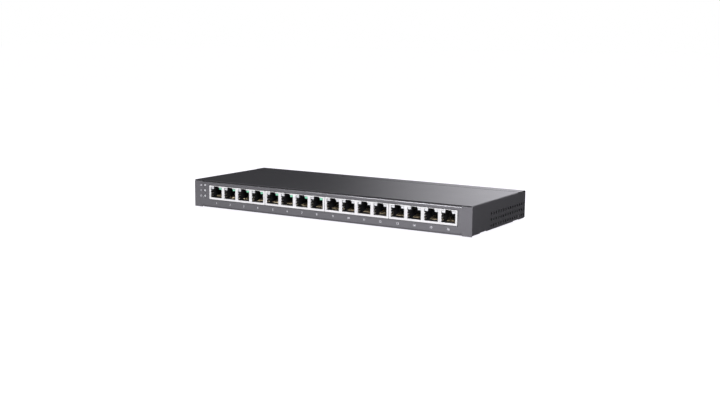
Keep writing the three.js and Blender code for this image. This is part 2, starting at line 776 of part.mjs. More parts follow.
add("base_chassis", baseChassis(), FINISH.frontPaint);
add("top_cover", topCover(), FINISH.coverPaint);
add("rear_panel", rearPanel(), FINISH.coverPaint);
for (const gang of range(GANG.count)) {
  add(`jack_shell_${gang + 1}`, jackShell(gang), FINISH.shell);
  add(`jack_housing_${gang + 1}`, jackHousing(gang), FINISH.blackPlastic);
  add(`jack_lenses_${gang + 1}`, lensRow(gang), FINISH.lens);
}
for (const index of range(STATUS.count)) {
  add(`status_light_pipe_${index + 1}`, statusPipe(index), FINISH.lens);
}
add("light_pipe_holder", lightPipeHolder(), FINISH.blackPlastic);
addFeet();
addScrews();
addBoardParts();
addInlet();
addGroundScrew();
addResetSwitch();

export default device;
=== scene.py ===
"""A sixteen-port desktop network switch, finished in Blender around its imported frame.

Lengths on the object are millimetres, and make_piece() turns them into Blender's metres.
X runs to the right seen from the front, Y to the rear and Z up.
"""

import json
import math

import bmesh
import bpy
import numpy as np
from mathutils import Matrix, Vector
from mathutils.geometry import delaunay_2d_cdt

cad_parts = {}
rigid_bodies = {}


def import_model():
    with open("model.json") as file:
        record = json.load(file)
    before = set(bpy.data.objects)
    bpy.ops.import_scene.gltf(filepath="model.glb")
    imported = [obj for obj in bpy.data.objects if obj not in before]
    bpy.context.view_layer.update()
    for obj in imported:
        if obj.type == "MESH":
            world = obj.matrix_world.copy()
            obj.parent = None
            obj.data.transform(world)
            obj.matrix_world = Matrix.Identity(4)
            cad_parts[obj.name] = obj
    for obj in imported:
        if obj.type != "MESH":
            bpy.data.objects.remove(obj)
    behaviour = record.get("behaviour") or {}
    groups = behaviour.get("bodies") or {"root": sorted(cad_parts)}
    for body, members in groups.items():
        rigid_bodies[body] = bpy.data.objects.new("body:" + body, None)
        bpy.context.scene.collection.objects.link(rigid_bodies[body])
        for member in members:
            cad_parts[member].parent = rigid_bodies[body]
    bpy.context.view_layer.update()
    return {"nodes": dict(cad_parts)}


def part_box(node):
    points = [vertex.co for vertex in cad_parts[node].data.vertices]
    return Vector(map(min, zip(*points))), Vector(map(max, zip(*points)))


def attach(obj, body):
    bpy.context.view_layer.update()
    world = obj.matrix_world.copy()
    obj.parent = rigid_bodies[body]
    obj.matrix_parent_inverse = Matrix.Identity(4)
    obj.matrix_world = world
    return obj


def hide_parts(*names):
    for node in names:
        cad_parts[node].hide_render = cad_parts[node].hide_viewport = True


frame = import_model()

MM = 0.001


# ---- places, read from the frame ----

def box(node):
    """A node's lowest and highest corner, in millimetres."""
    return tuple(tuple(c / MM for c in corner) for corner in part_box(node))


def middle(node):
    low, high = box(node)
    return tuple((a + b) / 2 for a, b in zip(low, high))


COVER_LOW, COVER_HIGH = box("top_cover")
CHASSIS_LOW, CHASSIS_HIGH = box("base_chassis")
REAR_LOW, REAR_HIGH = box("rear_panel")

HALF = COVER_HIGH[0]
FRONT = CHASSIS_LOW[1]
BACK = REAR_HIGH[1]
TOP = COVER_HIGH[2]
SKIRT = COVER_LOW[2]
UNDERSIDE = CHASSIS_LOW[2]
WALL_TOP = CHASSIS_HIGH[2]
PANEL_FLOOR = REAR_LOW[2]
STRIP_FRONT = REAR_LOW[1]
COVER_BACK = COVER_HIGH[1]

SHEET = 0.8
GAP = 0.3
BEND = 1.2
LIP_BEND = 1.7
FRONT_BEND = 2.4
SEAM_GAP = 1.0
TAB_WIDTH = 9.3
SLIT = 0.4

GANGS = (1, 2, 3, 4)
PORTS_PER_GANG = 4
PORT_PITCH = 15.74
SIDES = (-1, 1)


# ---- flat outlines ----

def rounded(points, radius, steps=4):
    """A closed outline through points, each given as (u, v) or (u, v, radius), with its corners rounded."""
    loop = []
    count = len(points)
    for i, point in enumerate(points):
        here = Vector(point[:2])
        back = Vector(points[i - 1][:2]) - here
        ahead = Vector(points[(i + 1) % count][:2]) - here
        r = point[2] if len(point) > 2 else radius
        turn = math.pi - back.angle(ahead)
        if turn < 1e-4:
            loop.append(here)
            continue
        reach = min(r * math.tan(turn / 2), back.length * 0.49, ahead.length * 0.49)
        r = reach / math.tan(turn / 2)
        start = here + back.normalized() * reach
        centre = here + (back.normalized() + ahead.normalized()).normalized() * math.hypot(r, reach)
        spin = -turn if back.cross(ahead) > 0 else turn
        ray = start - centre
        for k in range(steps + 1):
            angle = spin * k / steps
            cos, sin = math.cos(angle), math.sin(angle)
            loop.append(centre + Vector((ray.x * cos - ray.y * sin, ray.x * sin + ray.y * cos)))
    return loop


def rectangle(u0, u1, v0, v1, radius, steps=4):
    return rounded([(u0, v0), (u1, v0), (u1, v1), (u0, v1)], radius, steps)


def circle(u, v, radius, count=24):
    angles = [2 * math.pi * k / count for k in range(count)]
    return [Vector((u + radius * math.cos(a), v + radius * math.sin(a))) for a in angles]


def area(loop):
    return sum(a.cross(b) for a, b in zip(loop, loop[1:] + loop[:1])) / 2


def turned_left(loop, material_inside):
    """The loop run so that the material lies on its left."""
    return loop if (area(loop) > 0) == material_inside else loop[::-1]


def inset(loop, amount):
    """The loop moved to its left by amount."""
    moved = []
    for i, here in enumerate(loop):
        run_in = (here - loop[i - 1]).normalized()
        run_out = (loop[(i + 1) % len(loop)] - here).normalized()
        left = Vector((-(run_in + run_out).y, (run_in + run_out).x)).normalized()
        moved.append(here + left * amount / max(left.dot(Vector((-run_in.y, run_in.x))), 0.4))
    return moved


def inside(points, loop):
    """For each row of points, whether it lies inside the loop."""
    corners = np.array([tuple(p) for p in loop])
    ends = np.roll(corners, -1, axis=0)
    px, py = points[:, 0:1], points[:, 1:2]
    across = (corners[:, 1] > py) != (ends[:, 1] > py)
    rise = np.where(ends[:, 1] == corners[:, 1], 1.0, ends[:, 1] - corners[:, 1])
    at = corners[:, 0] + (py - corners[:, 1]) * (ends[:, 0] - corners[:, 0]) / rise
    return (across & (px < at)).sum(axis=1) % 2 == 1


# ---- sheets, plates and blocks with rounded edges ----

FOLD_STEPS = 8
PROBE_STEP = 0.004
INNER_MARK = -1.0


class Bent:
    """A sheet seen edge on: straight runs of its outer face, joined by round folds that all turn left."""

    def __init__(self, corners, radii):
        self.parts = []
        self.marks = [0.0]
        spare = [0.0, *radii, 0.0]
        for i, (a, b) in enumerate(zip(corners, corners[1:])):
            start, end = Vector(a), Vector(b)
            run = (end - start).normalized()
            length = (end - start).length - spare[i] - spare[i + 1]
            self._add(length, ("run", start + run * spare[i], run))
            if i < len(radii):
                r = radii[i]
                left = Vector((-run.y, run.x))
                turn = ("fold", end - run * r + left * r, math.atan2(-run.x, run.y), r)
                self._add(r * math.pi / 2, turn)
        self.total = self.marks[-1]

    def _add(self, length, part):
        self.parts.append(part)
        self.marks.append(self.marks[-1] + length)

    def at(self, s, depth):
        """The point s along the outer face and depth into the sheet."""
        i = 0
        while i < len(self.parts) - 1 and s > self.marks[i + 1]:
            i += 1
        part = self.parts[i]
        along = s - self.marks[i]
        if part[0] == "run":
            _, start, run = part
            return start.x + run.x * along - run.y * depth, start.y + run.y * along + run.x * depth
        _, centre, first, r = part
        angle = first + along / r
        return centre.x + math.cos(angle) * (r - depth), centre.y + math.sin(angle) * (r - depth)

    def creases(self):
        """The distances at which the folds are divided."""
        places = []
        for i, part in enumerate(self.parts):
            if part[0] == "fold":
                a, b = self.marks[i], self.marks[i + 1]
                places += [a + (b - a) * k / FOLD_STEPS for k in range(FOLD_STEPS + 1)]
        return places


class Surface:
    """Points and the faces between them. Points of sheets also have a normal and an edge mark."""

    def __init__(self):
        self.points = []
        self.normals = []
        self.edges = []
        self.faces = []

    def add(self, point, normal=None, edge=0.0):
        self.points.append(point)
        self.normals.append(normal)
        self.edges.append(edge)
        return len(self.points) - 1

    def band(self, first, second):
        """Quads between two closed rows of the same length."""
        for i in range(len(first)):
            j = (i + 1) % len(first)
            self.faces.append((first[j], first[i], second[i], second[j]))

    def join(self, other):
        shift = len(self.points)
        self.points += other.points
        self.normals += other.normals
        self.edges += other.edges
        self.faces += [tuple(i + shift for i in face) for face in other.faces]
        return self

    def has_normals(self):
        return None not in self.normals


def flat_frame(fold, u, v, w):
    """Unit vectors along u, v and w where a flat pattern's point lands."""
    step = PROBE_STEP
    axes = []
    for du, dv, dw in ((step, 0, 0), (0, step, 0), (0, 0, step)):
        ahead = np.array(fold(u + du, v + dv, w + dw))
        behind = np.array(fold(u - du, v - dv, w - dw))
        way = ahead - behind
        axes.append(way / np.linalg.norm(way))
    return axes


def triangles_between(loops, lines):
    """Constrained triangles over the loops, with the lines kept as edges."""
    points, edges = [], []
    for loop in loops:
        first = len(points)
        points += loop
        edges += [(first + i, first + (i + 1) % len(loop)) for i in range(len(loop))]
    for a, b in lines:
        edges.append((len(points), len(points) + 1))
        points += [Vector(a), Vector(b)]
    made, _, faces, *_ = delaunay_2d_cdt(points, edges, [], 0, 1e-4)
    corners = [tuple(p) for p in made]
    wound = []
    for a, b, c in faces:
        ab = (corners[b][0] - corners[a][0], corners[b][1] - corners[a][1])
        ac = (corners[c][0] - corners[a][0], corners[c][1] - corners[a][1])
        wound.append((a, b, c) if ab[0] * ac[1] > ab[1] * ac[0] else (a, c, b))
    return corners, wound


def border_loops(faces):
    """The ordered rims of a set of triangles, each with the material on its left."""
    ways = {(a, b) for face in faces for a, b in zip(face, face[1:] + face[:1])}
    following = {}
    for a, b in sorted(ways):
        if (b, a) not in ways:
            if a in following:
                raise ValueError(f"two rims meet at point {a}")
            following[a] = b
    loops = []
    while following:
        start, here = following.popitem()
        loop = [start]
        while here != start:
            loop.append(here)
            here = following.pop(here)
        loops.append(loop)
    return loops


def slab(outline, thickness, fold, holes=(), pockets=(), creases=(), edge=0.12, steps=3):
    """A plate with rounded edges, holes and blind pockets, laid out flat in u and v and then folded.

    Pockets are (loop, depth). Creases are lines in the flat pattern, each a pair of points.
    fold(u, v, w) gives the place in space, where w is the depth below the outer face.
    Its vertices carry a mark: 1 on the outer edges, INNER_MARK on the inner face and 0 between.
    """
    loops = [inset(turned_left(outline, True), edge)]
    loops += [inset(turned_left(hole, False), edge) for hole in holes]
    wells = [inset(turned_left(loop, False), edge) for loop, _ in pockets]
    corners, faces = triangles_between(loops + wells, creases)
    centres = np.array([np.mean([corners[i] for i in face], axis=0) for face in faces])
    solid = inside(centres, loops[0])
    for hole in loops[1:]:
        solid &= ~inside(centres, hole)
    level = np.zeros(len(faces))
    for well, (_, depth) in zip(wells, pockets):
        level[inside(centres, well)] = depth
    front = [face for face, s, d in zip(faces, solid, level) if s and d == 0]
    floors = [(face, d) for face, s, d in zip(faces, solid, level) if s and d > 0]
    return _slab_surface(corners, front, floors, thickness, fold, edge, steps)


def _slab_surface(corners, front, floors, thickness, fold, edge, steps):
    surface = Surface()

    def vertex(place, w, direction, rise, mark=0.0):
        """A vertex of the flat pattern. Its normal is an in-plane direction and a rise out of the face."""
        return surface.add((*place, w), (*direction, -rise), mark)

    still = (0.0, 0.0)
    used = {i for face in front for i in face}
    all_used = used | {i for face, _ in floors for i in face}
    front_ids = {i: vertex(corners[i], 0.0, still, 1.0) for i in sorted(used)}
    back_ids = {i: vertex(corners[i], thickness, still, -1.0, INNER_MARK) for i in sorted(all_used)}
    floor_depth = {}
    for face, depth in floors:
        for i in face:
            floor_depth[i] = depth
    floor_ways = {(a, b) for face, _ in floors for a, b in zip(face, face[1:] + face[:1])}
    floor_ids = {}

    def outward(loop):
        """For each point of a rim, the direction away from the material, and its stretch at corners."""
        ways = []
        for k, i in enumerate(loop):
            here = np.array(corners[i])
            run_in = here - corners[loop[k - 1]]
            run_out = np.array(corners[loop[(k + 1) % len(loop)]]) - here
            run_in = run_in / np.linalg.norm(run_in)
            run_out = run_out / np.linalg.norm(run_out)
            way = np.array((run_in[1] + run_out[1], -run_in[0] - run_out[0]))
            way = way / np.linalg.norm(way)
            ways.append((way, 1 / max(way @ (run_in[1], -run_in[0]), 0.4)))
        return ways

    def row(loop, ways, offset, w, plane, rise, mark):
        """A row beside the rim: offset from it, w deep, with a normal of plane and rise parts."""
        made = []
        for i, (way, stretch) in zip(loop, ways):
            place = np.array(corners[i]) + way * stretch * offset
            made.append(vertex(tuple(place), w, tuple(way * plane), rise, mark))
        return made

    turns = [math.pi / 2 * k / steps for k in range(1, steps + 1)]
    rim_marks = [1.0] * (steps - 1) + [0.0]
    for loop in border_loops(front):
        ways = outward(loop)
        rows = [[front_ids[i] for i in loop]]
        for t, mark in zip(turns, rim_marks):
            w = edge * (1 - math.cos(t))
            rows.append(row(loop, ways, edge * math.sin(t), w, math.sin(t), math.cos(t), mark))
        if (loop[1], loop[0]) in floor_ways:
            depth = floor_depth[loop[0]]
            for t in [0.0, *turns]:
                offset = edge + edge * (1 - math.cos(t))
                w = depth - edge * (1 - math.sin(t))
                rows.append(row(loop, ways, offset, w, math.cos(t), math.sin(t), 0.0))
            floor_ids.update(zip(loop, rows[-1]))
        else:
            for t in turns[::-1]:
                w = thickness - edge * (1 - math.cos(t))
                rows.append(row(loop, ways, edge * math.sin(t), w, math.sin(t), -math.cos(t), INNER_MARK))
            rows.append([back_ids[i] for i in loop])
        for a, b in zip(rows, rows[1:]):
            surface.band(a, b)
    for face in front:
        surface.faces.append(tuple(front_ids[i] for i in face))
        surface.faces.append(tuple(back_ids[i] for i in reversed(face)))
    for face, _ in floors:
        surface.faces.append(tuple(floor_ids[i] for i in face))
        surface.faces.append(tuple(back_ids[i] for i in reversed(face)))
    return folded(surface, fold)


def folded(surface, fold):
    """Carries a flat pattern's surface into space."""
    placed = Surface()
    for (u, v, w), normal, mark in zip(surface.points, surface.normals, surface.edges):
        axes = flat_frame(fold, u, v, w)
        way = sum(part * axis for part, axis in zip(normal, axes))
        placed.add(tuple(fold(u, v, w)), tuple(way), mark)
    first = surface.points[0]
    along_u, along_v, along_w = flat_frame(fold, *first)
    flip = np.cross(along_u, along_v) @ along_w > 0
    placed.faces = [face[::-1] for face in surface.faces] if flip else surface.faces
    return placed


def facing_front(y):
    return lambda u, v, w: (u, y + w, v)


def facing_rear(y):
    return lambda u, v, w: (u, y - w, v)


def facing_up(z):
    return lambda u, v, w: (u, v, z - w)


def block(low, high, edge, corner, steps=3):
    """A box between two corners, with upright edges of radius corner and the others of radius edge."""
    outline = rectangle(low[0], high[0], low[1], high[1], corner, steps)
    return slab(outline, high[2] - low[2], facing_up(high[2]), edge=edge, steps=steps)


# ---- swept and turned parts ----

def swept(rows):
    """A solid through rows of points, such as the sections of a wire, closed at both ends."""
    surface = Surface()
    numbered = [[surface.add(point) for point in row] for row in rows]
    for a, b in zip(numbered, numbered[1:]):
        surface.band(a, b)
    surface.faces += [tuple(numbered[0]), tuple(reversed(numbered[-1]))]
    return surface


def standing(x, y):
    """Puts a turned part upright, with its axis at x and y."""
    return lambda a, b, h: (x + a, y + b, h)


def pointing_rear(x, y, z):
    """Puts a turned part with its axis along Y, growing to the rear."""
    return lambda a, b, h: (x - a, y + h, z + b)


def lathe(profile, place, angles, shape=None):
    """A profile of (radius, height) points turned about its axis, and put in space by place(a, b, h).

    The profile starts and ends on the axis. shape(radius, row, angle) may bend a row out of round.
    """
    surface = Surface()
    rows = []
    for k, (radius, height) in enumerate(profile):
        if radius == 0:
            rows.append([surface.add(place(0, 0, height))])
            continue
        made = []
        for step in range(angles):
            a = 2 * math.pi * step / angles
            r = shape(radius, k, a) if shape else radius
            made.append(surface.add(place(r * math.cos(a), r * math.sin(a), height)))
        rows.append(made)
    for lower, upper in zip(rows, rows[1:]):
        count = max(len(lower), len(upper))
        for i in range(count):
            j = (i + 1) % count
            if len(lower) == 1:
                surface.faces.append((lower[0], upper[j], upper[i]))
            elif len(upper) == 1:
                surface.faces.append((lower[i], lower[j], upper[0]))
            else:
                surface.faces.append((lower[i], lower[j], upper[j], upper[i]))
    return surface


# ---- objects ----

JOIN_DISTANCE = 0.0005
SHARP_ANGLE = math.radians(35)


def close_up(mesh):
    """Joins the vertices that lie together, drops faces with no area and turns the rest to face out."""
    work = bmesh.new()
    work.from_mesh(mesh)
    bmesh.ops.remove_doubles(work, verts=work.verts, dist=JOIN_DISTANCE * MM)
    bmesh.ops.dissolve_degenerate(work, edges=work.edges, dist=JOIN_DISTANCE * MM)
    bmesh.ops.recalc_face_normals(work, faces=work.faces)
    work.to_mesh(mesh)
    work.free()


def make_piece(name, surface, material, body, replaced=()):
    """An object from a surface in millimetres, riding on a body."""
    mesh = bpy.data.meshes.new(name)
    mesh.from_pydata([tuple(c * MM for c in p) for p in surface.points], [], surface.faces)
    if not surface.has_normals():
        close_up(mesh)
    mesh.polygons.foreach_set("use_smooth", [True] * len(mesh.polygons))
    if surface.has_normals():
        mesh.normals_split_custom_set_from_vertices([Vector(n).normalized() for n in surface.normals])
        mark = mesh.attributes.new("edge", "FLOAT", "POINT")
        mark.data.foreach_set("value", surface.edges)
    mesh.materials.append(material)
    mesh.update()
    piece = bpy.data.objects.new(name, mesh)
    bpy.context.scene.collection.objects.link(piece)
    if not surface.has_normals():
        mesh.set_sharp_from_angle(angle=SHARP_ANGLE)
        weighted = piece.modifiers.new("soft_faces", "WEIGHTED_NORMAL")
        weighted.keep_sharp = True
        weighted.weight = 100
    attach(piece, body)
    if replaced:
        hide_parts(*replaced)


# ---- materials ----

def tint(red, green, blue):
    return (red, green, blue, 1)


def feed(tree, socket, value):
    """Gives a node's input a value, or the output of another node."""
    if isinstance(value, bpy.types.NodeSocket):
        tree.links.new(value, socket)
    else:
        socket.default_value = value


def node(tree, kind, **values):
    """A shader node. Each value goes to the input of its name, or else to the property."""
    made = tree.nodes.new(kind)
    for name, value in values.items():
        label = name.replace("_", " ")
        if label in made.inputs:
            feed(tree, made.inputs[label], value)
        else:
            setattr(made, name, value)
    return made


def noise(tree, size, detail, stretch=(1, 1, 1)):
    """Noise over the object's own coordinates, with features of about size millimetres."""
    where = node(tree, "ShaderNodeTexCoord").outputs["Object"]
    if stretch != (1, 1, 1):
        where = node(tree, "ShaderNodeMapping", Vector=where, Scale=stretch).outputs["Vector"]
    made = node(
        tree, "ShaderNodeTexNoise", Vector=where, Scale=1 / (size * MM), Detail=detail, Roughness=0.5
    )
    return made.outputs["Fac"]


def spread(tree, value, low, high, start=0.3, end=0.7):
    """A value between start and end, carried over to low and high."""
    made = node(
        tree, "ShaderNodeMapRange", Value=value, From_Min=start, From_Max=end, To_Min=low, To_Max=high
    )
    return made.outputs["Result"]


def blend_colours(tree, share, first, second):
    made = node(tree, "ShaderNodeMix", data_type="RGBA")
    for name, value in (("Factor", share), ("A", first), ("B", second)):
        feed(tree, next(s for s in made.inputs if s.name == name and s.enabled), value)
    return next(s for s in made.outputs if s.enabled)


def multiply(tree, a, b):
    made = node(tree, "ShaderNodeMath", operation="MULTIPLY")
    for socket, value in zip(made.inputs, (a, b)):
        feed(tree, socket, value)
    return made.outputs[0]


def finish(name, low, high, rough, patch, grain, height, metal=0.0, wear=None, wear_share=0.5,
           stretch=(1, 1, 1), speckle=0.0, **constants):
    """A material whose colour drifts from low to high over patches, with a fine grain in its relief.

    patch, grain and height are the sizes of the patches and of the grain, in millimetres.
    rough is a pair of roughness limits. Outer edges, where the mesh marks them, lean towards the wear
    colour, and the inner face gets painted shade: its colour falls to 0.3 of low, fading out across the
    rims.
    constants are shader inputs that are the same all over.
    """
    material = bpy.data.materials.new(name)
    material.use_nodes = True
    tree = material.node_tree
    shader = next(n for n in tree.nodes if n.type == "BSDF_PRINCIPLED")
    drift = noise(tree, patch, 3, stretch=stretch)
    fine = noise(tree, grain, 2, stretch=stretch)
    colour = blend_colours(tree, spread(tree, drift, 0, 1), tint(*low), tint(*high))
    if speckle:
        darker = tint(*(c * (1 - speckle) for c in low))
        colour = blend_colours(tree, spread(tree, fine, 0, 0.6, 0.5, 0.75), colour, darker)
    roughness = spread(tree, noise(tree, patch / 3, 3, stretch=stretch), *rough)
    if wear:
        edge = node(tree, "ShaderNodeAttribute", attribute_name="edge").outputs["Fac"]
        # Painted shade: the inner face, marked INNER_MARK, takes 0.3 of low, fading across the rims to the
        # outer face.
        painted_inner_shade = tint(*(c * 0.3 for c in low))
        colour = blend_colours(tree, spread(tree, edge, 1, 0, -0.4, -0.02), colour, painted_inner_shade)
        edge = spread(tree, edge, 0, 1, 0, 1)
        rubbed = spread(tree, noise(tree, 2.2, 4), 0, 1, 0.42, 0.62)
        share = multiply(tree, multiply(tree, edge, rubbed), wear_share)
        colour = blend_colours(tree, share, colour, tint(*wear))
    feed(tree, shader.inputs["Base Color"], colour)
    feed(tree, shader.inputs["Roughness"], roughness)
    if height:
        bump = node(tree, "ShaderNodeBump", Height=fine, Strength=1.0, Distance=height * MM)
        feed(tree, shader.inputs["Normal"], bump.outputs["Normal"])
    shader.inputs["Metallic"].default_value = metal
    for label, value in constants.items():
        shader.inputs[label.replace("_", " ")].default_value = value
    return material


FRONT_PAINT = finish(
    "front_paint", (0.090, 0.0885, 0.093), (0.096, 0.0945, 0.099), (0.29, 0.32),
    patch=45, grain=0.35, height=0.012, wear=(0.24, 0.24, 0.25), wear_share=0.35, speckle=0.22,
)
COVER_PAINT = finish(
    "cover_paint", (0.036, 0.036, 0.038), (0.040, 0.040, 0.042), (0.325, 0.335),
    patch=60, grain=0.35, height=0.010, wear=(0.11, 0.11, 0.115), wear_share=0.4, speckle=0.22,
)
TIN_PLATE = finish(
    "jack_shell", (0.89, 0.89, 0.87), (0.96, 0.96, 0.94), (0.30, 0.42),
    patch=5, grain=0.5, height=0.002, metal=1.0, stretch=(0.3, 1, 1),
)
JACK_PLASTIC = finish(
    "jack_plastic", (0.009, 0.009, 0.010), (0.014, 0.014, 0.015), (0.42, 0.55),
    patch=6, grain=0.18, height=0.004,
)
CLEAR_LENS = finish(
    "light_guide", (0.48, 0.49, 0.49), (0.57, 0.58, 0.58), (0.16, 0.26),
    patch=2, grain=0.4, height=0.002, Coat_Weight=0.4, Coat_Roughness=0.1,
)
GREEN_LENS = finish(
    "light_guide_green", (0.16, 0.48, 0.30), (0.22, 0.56, 0.37), (0.16, 0.26),
    patch=2, grain=0.4, height=0.002, Coat_Weight=0.4, Coat_Roughness=0.1,
    Emission_Color=tint(0.25, 0.9, 0.5), Emission_Strength=0.05,
)
GOLD = finish(
    "contact_gold", (0.44, 0.37, 0.24), (0.54, 0.45, 0.30), (0.38, 0.52),
    patch=2, grain=0.3, height=0.001, metal=1.0,
)
BOARD_MASK = finish(
    "board", (0.007, 0.050, 0.024), (0.010, 0.062, 0.030), (0.28, 0.40),
    patch=9, grain=0.6, height=0.006,
)
ZINC = finish(
    "zinc", (0.60, 0.61, 0.62), (0.74, 0.75, 0.75), (0.26, 0.42),
    patch=3, grain=0.25, height=0.002, metal=1.0,
)
BLACK_SCREW = finish(
    "black_screw", (0.020, 0.020, 0.022), (0.035, 0.035, 0.037), (0.30, 0.45),
    patch=2, grain=0.2, height=0.003, metal=0.6, wear=(0.3, 0.3, 0.3),
)
RUBBER = finish(
    "rubber", (0.012, 0.012, 0.012), (0.022, 0.022, 0.022), (0.78, 0.92),
    patch=4, grain=0.22, height=0.012,
)
HEATSINK_BLACK = finish(
    "heatsink", (0.018, 0.018, 0.020), (0.030, 0.030, 0.033), (0.38, 0.52),
    patch=6, grain=0.3, height=0.004, metal=0.7, stretch=(1, 0.2, 1),
)
CHIP_RESIN = finish(
    "chip", (0.014, 0.014, 0.015), (0.024, 0.024, 0.025), (0.55, 0.70),
    patch=5, grain=0.15, height=0.006,
)
THERMAL_PAD = finish(
    "thermal_pad", (0.24, 0.27, 0.29), (0.32, 0.35, 0.37), (0.75, 0.9),
    patch=3, grain=0.5, height=0.02,
)
FILM = finish(
    "film", (0.62, 0.62, 0.58), (0.70, 0.70, 0.66), (0.35, 0.5),
    patch=12, grain=1.2, height=0.01,
)
FERRITE = finish(
    "ferrite", (0.030, 0.031, 0.033), (0.055, 0.056, 0.058), (0.6, 0.8),
    patch=2, grain=0.25, height=0.03,
)
SLEEVE = finish(
    "sleeve", (0.012, 0.014, 0.020), (0.018, 0.021, 0.030), (0.25, 0.38),
    patch=6, grain=0.6, height=0.004,
)
PRINT = finish(
    "print", (0.58, 0.58, 0.60), (0.68, 0.68, 0.70), (0.5, 0.6),
    patch=2, grain=0.2, height=0.002,
)


# ---- sheet-metal case ----

BODY = "body"
TAB_SCREW_X = middle("cover_screw_front_right")[0]
TAB_Y = [middle(f"cover_screw_{end}_right")[1] for end in ("front", "rear")]
PANEL_SCREW_X, PANEL_SCREW_Y, _ = middle("panel_screw_right")
REAR_SCREW_X, _, REAR_SCREW_Z = middle("rear_screw_right")
SCREW_HOLE = 1.6

TAB_REACH = 9.6
TAB_HALF = 6.0
REAR_FLANGE = 7
REAR_FLANGE_LOW = 2.3
REAR_FLANGE_HIGH = 22.2
PANEL_FLANGE = 9
PANEL_FLOOR_HALF = 138.0
CHASSIS_FLANGE = 5
CHASSIS_LIP = 2.5
CHASSIS_LIP_SETBACK = 3.2
CHASSIS_NOTCH_HALF = 7
CHASSIS_NOTCH_SHORT = 0.95
LIGHT_HOLE = 1.5

VENT_RADIUS = 1.4
VENT_HEIGHTS = [5.6 + 5.05 * row for row in range(3)]
VENT_PLACES = [FRONT + 37.8 + 5 * column for column in range(15)]


def mirrored(half, whole):
    """An outline from its half. The other half has whole - u for u."""
    return half + [(whole - u, v, *radius) for u, v, *radius in reversed(half)]


def mirrored_across(half):
    """An outline from its half. The other half has -v for v."""
    return half + [(u, -v, *radius) for u, v, *radius in reversed(half)]


def crease_lines(places, low, high):
    """Lines across the flat pattern at each place, from low to high."""
    return [((place, low), (place, high)) for place in places]


def top_cover():
    """Top and both sides bent from one sheet, with screw tabs below and rear flanges."""
    profile = Bent([(HALF, SKIRT), (HALF, TOP), (-HALF, TOP), (-HALF, SKIRT)], [BEND, BEND])
    whole = profile.total
    side_end = profile.marks[1]
    flange_start = COVER_BACK - BEND
    rear_edge = COVER_BACK - 0.5
    corner = Bent([(HALF, 0), (HALF, COVER_BACK), (HALF - REAR_FLANGE, COVER_BACK)], [BEND])
    flange_end = corner.total
    flange_low, flange_high = REAR_FLANGE_LOW, REAR_FLANGE_HIGH
    tab_start = PANEL_FLOOR + BEND - SKIRT
    tab_tip = HALF - SHEET - TAB_REACH
    tab = Bent([(tab_tip, PANEL_FLOOR), (HALF, PANEL_FLOOR), (HALF, TOP)], [BEND])
    tab_end = tab_start - tab.marks[2]

    def fold(s, y, w):
        side = 1 if s < whole / 2 else -1
        s = s if side > 0 else whole - s
        if s < tab_start and any(abs(y - place) < TAB_HALF + SLIT / 2 for place in TAB_Y):
            x, z = tab.at(s - tab_start + tab.marks[2], w)
        elif y > flange_start and flange_low - SLIT < s < flange_high + SLIT:
            x, y = corner.at(y, w)
            z = SKIRT + s
        else:
            x, z = profile.at(s, w)
        return side * x, y, z

    side_front = FRONT + SHEET + GAP
    lip_start = side_end + BEND * math.asin((BEND - SHEET) / BEND)
    seam = STRIP_FRONT - SEAM_GAP
    cut_start = side_end + 0.1
    half = [(cut_start, seam, 0.1), (cut_start, rear_edge, 0.3), (flange_high + SLIT, rear_edge)]
    half += [(flange_high + SLIT, flange_start - 0.2), (flange_high, flange_start - 0.2)]
    half += [(flange_high, flange_end, 1), (flange_low, flange_end, 1)]
    half += [(flange_low, flange_start - 0.2), (flange_low - SLIT, flange_start - 0.2)]
    half += [(flange_low - SLIT, rear_edge), (0, rear_edge, 0.6)]
    for place in reversed(TAB_Y):
        outer, slit_end = TAB_HALF + SLIT, tab_start + 0.3
        half += [(0, place + outer), (slit_end, place + outer), (slit_end, place + TAB_HALF)]
        half += [(tab_end, place + TAB_HALF, 1), (tab_end, place - TAB_HALF, 1)]
        half += [(slit_end, place - TAB_HALF), (slit_end, place - outer), (0, place - outer)]
    half += [(0, side_front, 0.4), (lip_start, side_front, 0.1), (lip_start, FRONT, 0.3)]
    outline = rounded(mirrored(half, whole), 0.15, 3)

    holes = []
    for y in VENT_PLACES:
        for z in VENT_HEIGHTS:
            holes.append(circle(z - SKIRT, y, VENT_RADIUS))
    for place in TAB_Y:
        holes.append(circle(tab_end + TAB_SCREW_X - tab_tip, place, SCREW_HOLE))
    flange_hole = corner.marks[2] + HALF - BEND - REAR_SCREW_X
    holes.append(circle(REAR_SCREW_Z - SKIRT, flange_hole, SCREW_HOLE))
    holes += [[Vector((whole - p.x, p.y)) for p in reversed(hole)] for hole in holes]

    tab_creases = [tab_start - tab.marks[2] + s for s in tab.creases()]
    lines = crease_lines(profile.creases(), FRONT - 5, COVER_BACK + 5)
    for place in TAB_Y:
        for s in tab_creases:
            for at in (s, whole - s):
                lines.append(((at, place - TAB_HALF - 0.1), (at, place + TAB_HALF + 0.1)))
    for y in corner.creases():
        for low, high in ((flange_low, flange_high), (whole - flange_high, whole - flange_low)):
            lines.append(((low - 0.1, y), (high + 0.1, y)))
    surface = slab(outline, SHEET, fold, holes, creases=lines)
    make_piece("painted_top_cover", surface, COVER_PAINT, BODY, ["top_cover"])


JACK_LOW = box("jack_shell_1")[0]
JACK_HIGH = box("jack_shell_4")[1]
SLOT_CLEARANCE = GAP + 0.05
LIGHTS = [f"status_light_pipe_{i}" for i in (1, 2, 3)]
LIGHT_RADIUS = 1.2
LIGHT_X = middle(LIGHTS[0])[0]
LIGHT_HEIGHTS = [box(name)[1][2] - LIGHT_RADIUS for name in LIGHTS]
KEYHOLE_X = 90
KEYHOLE_Y = 6


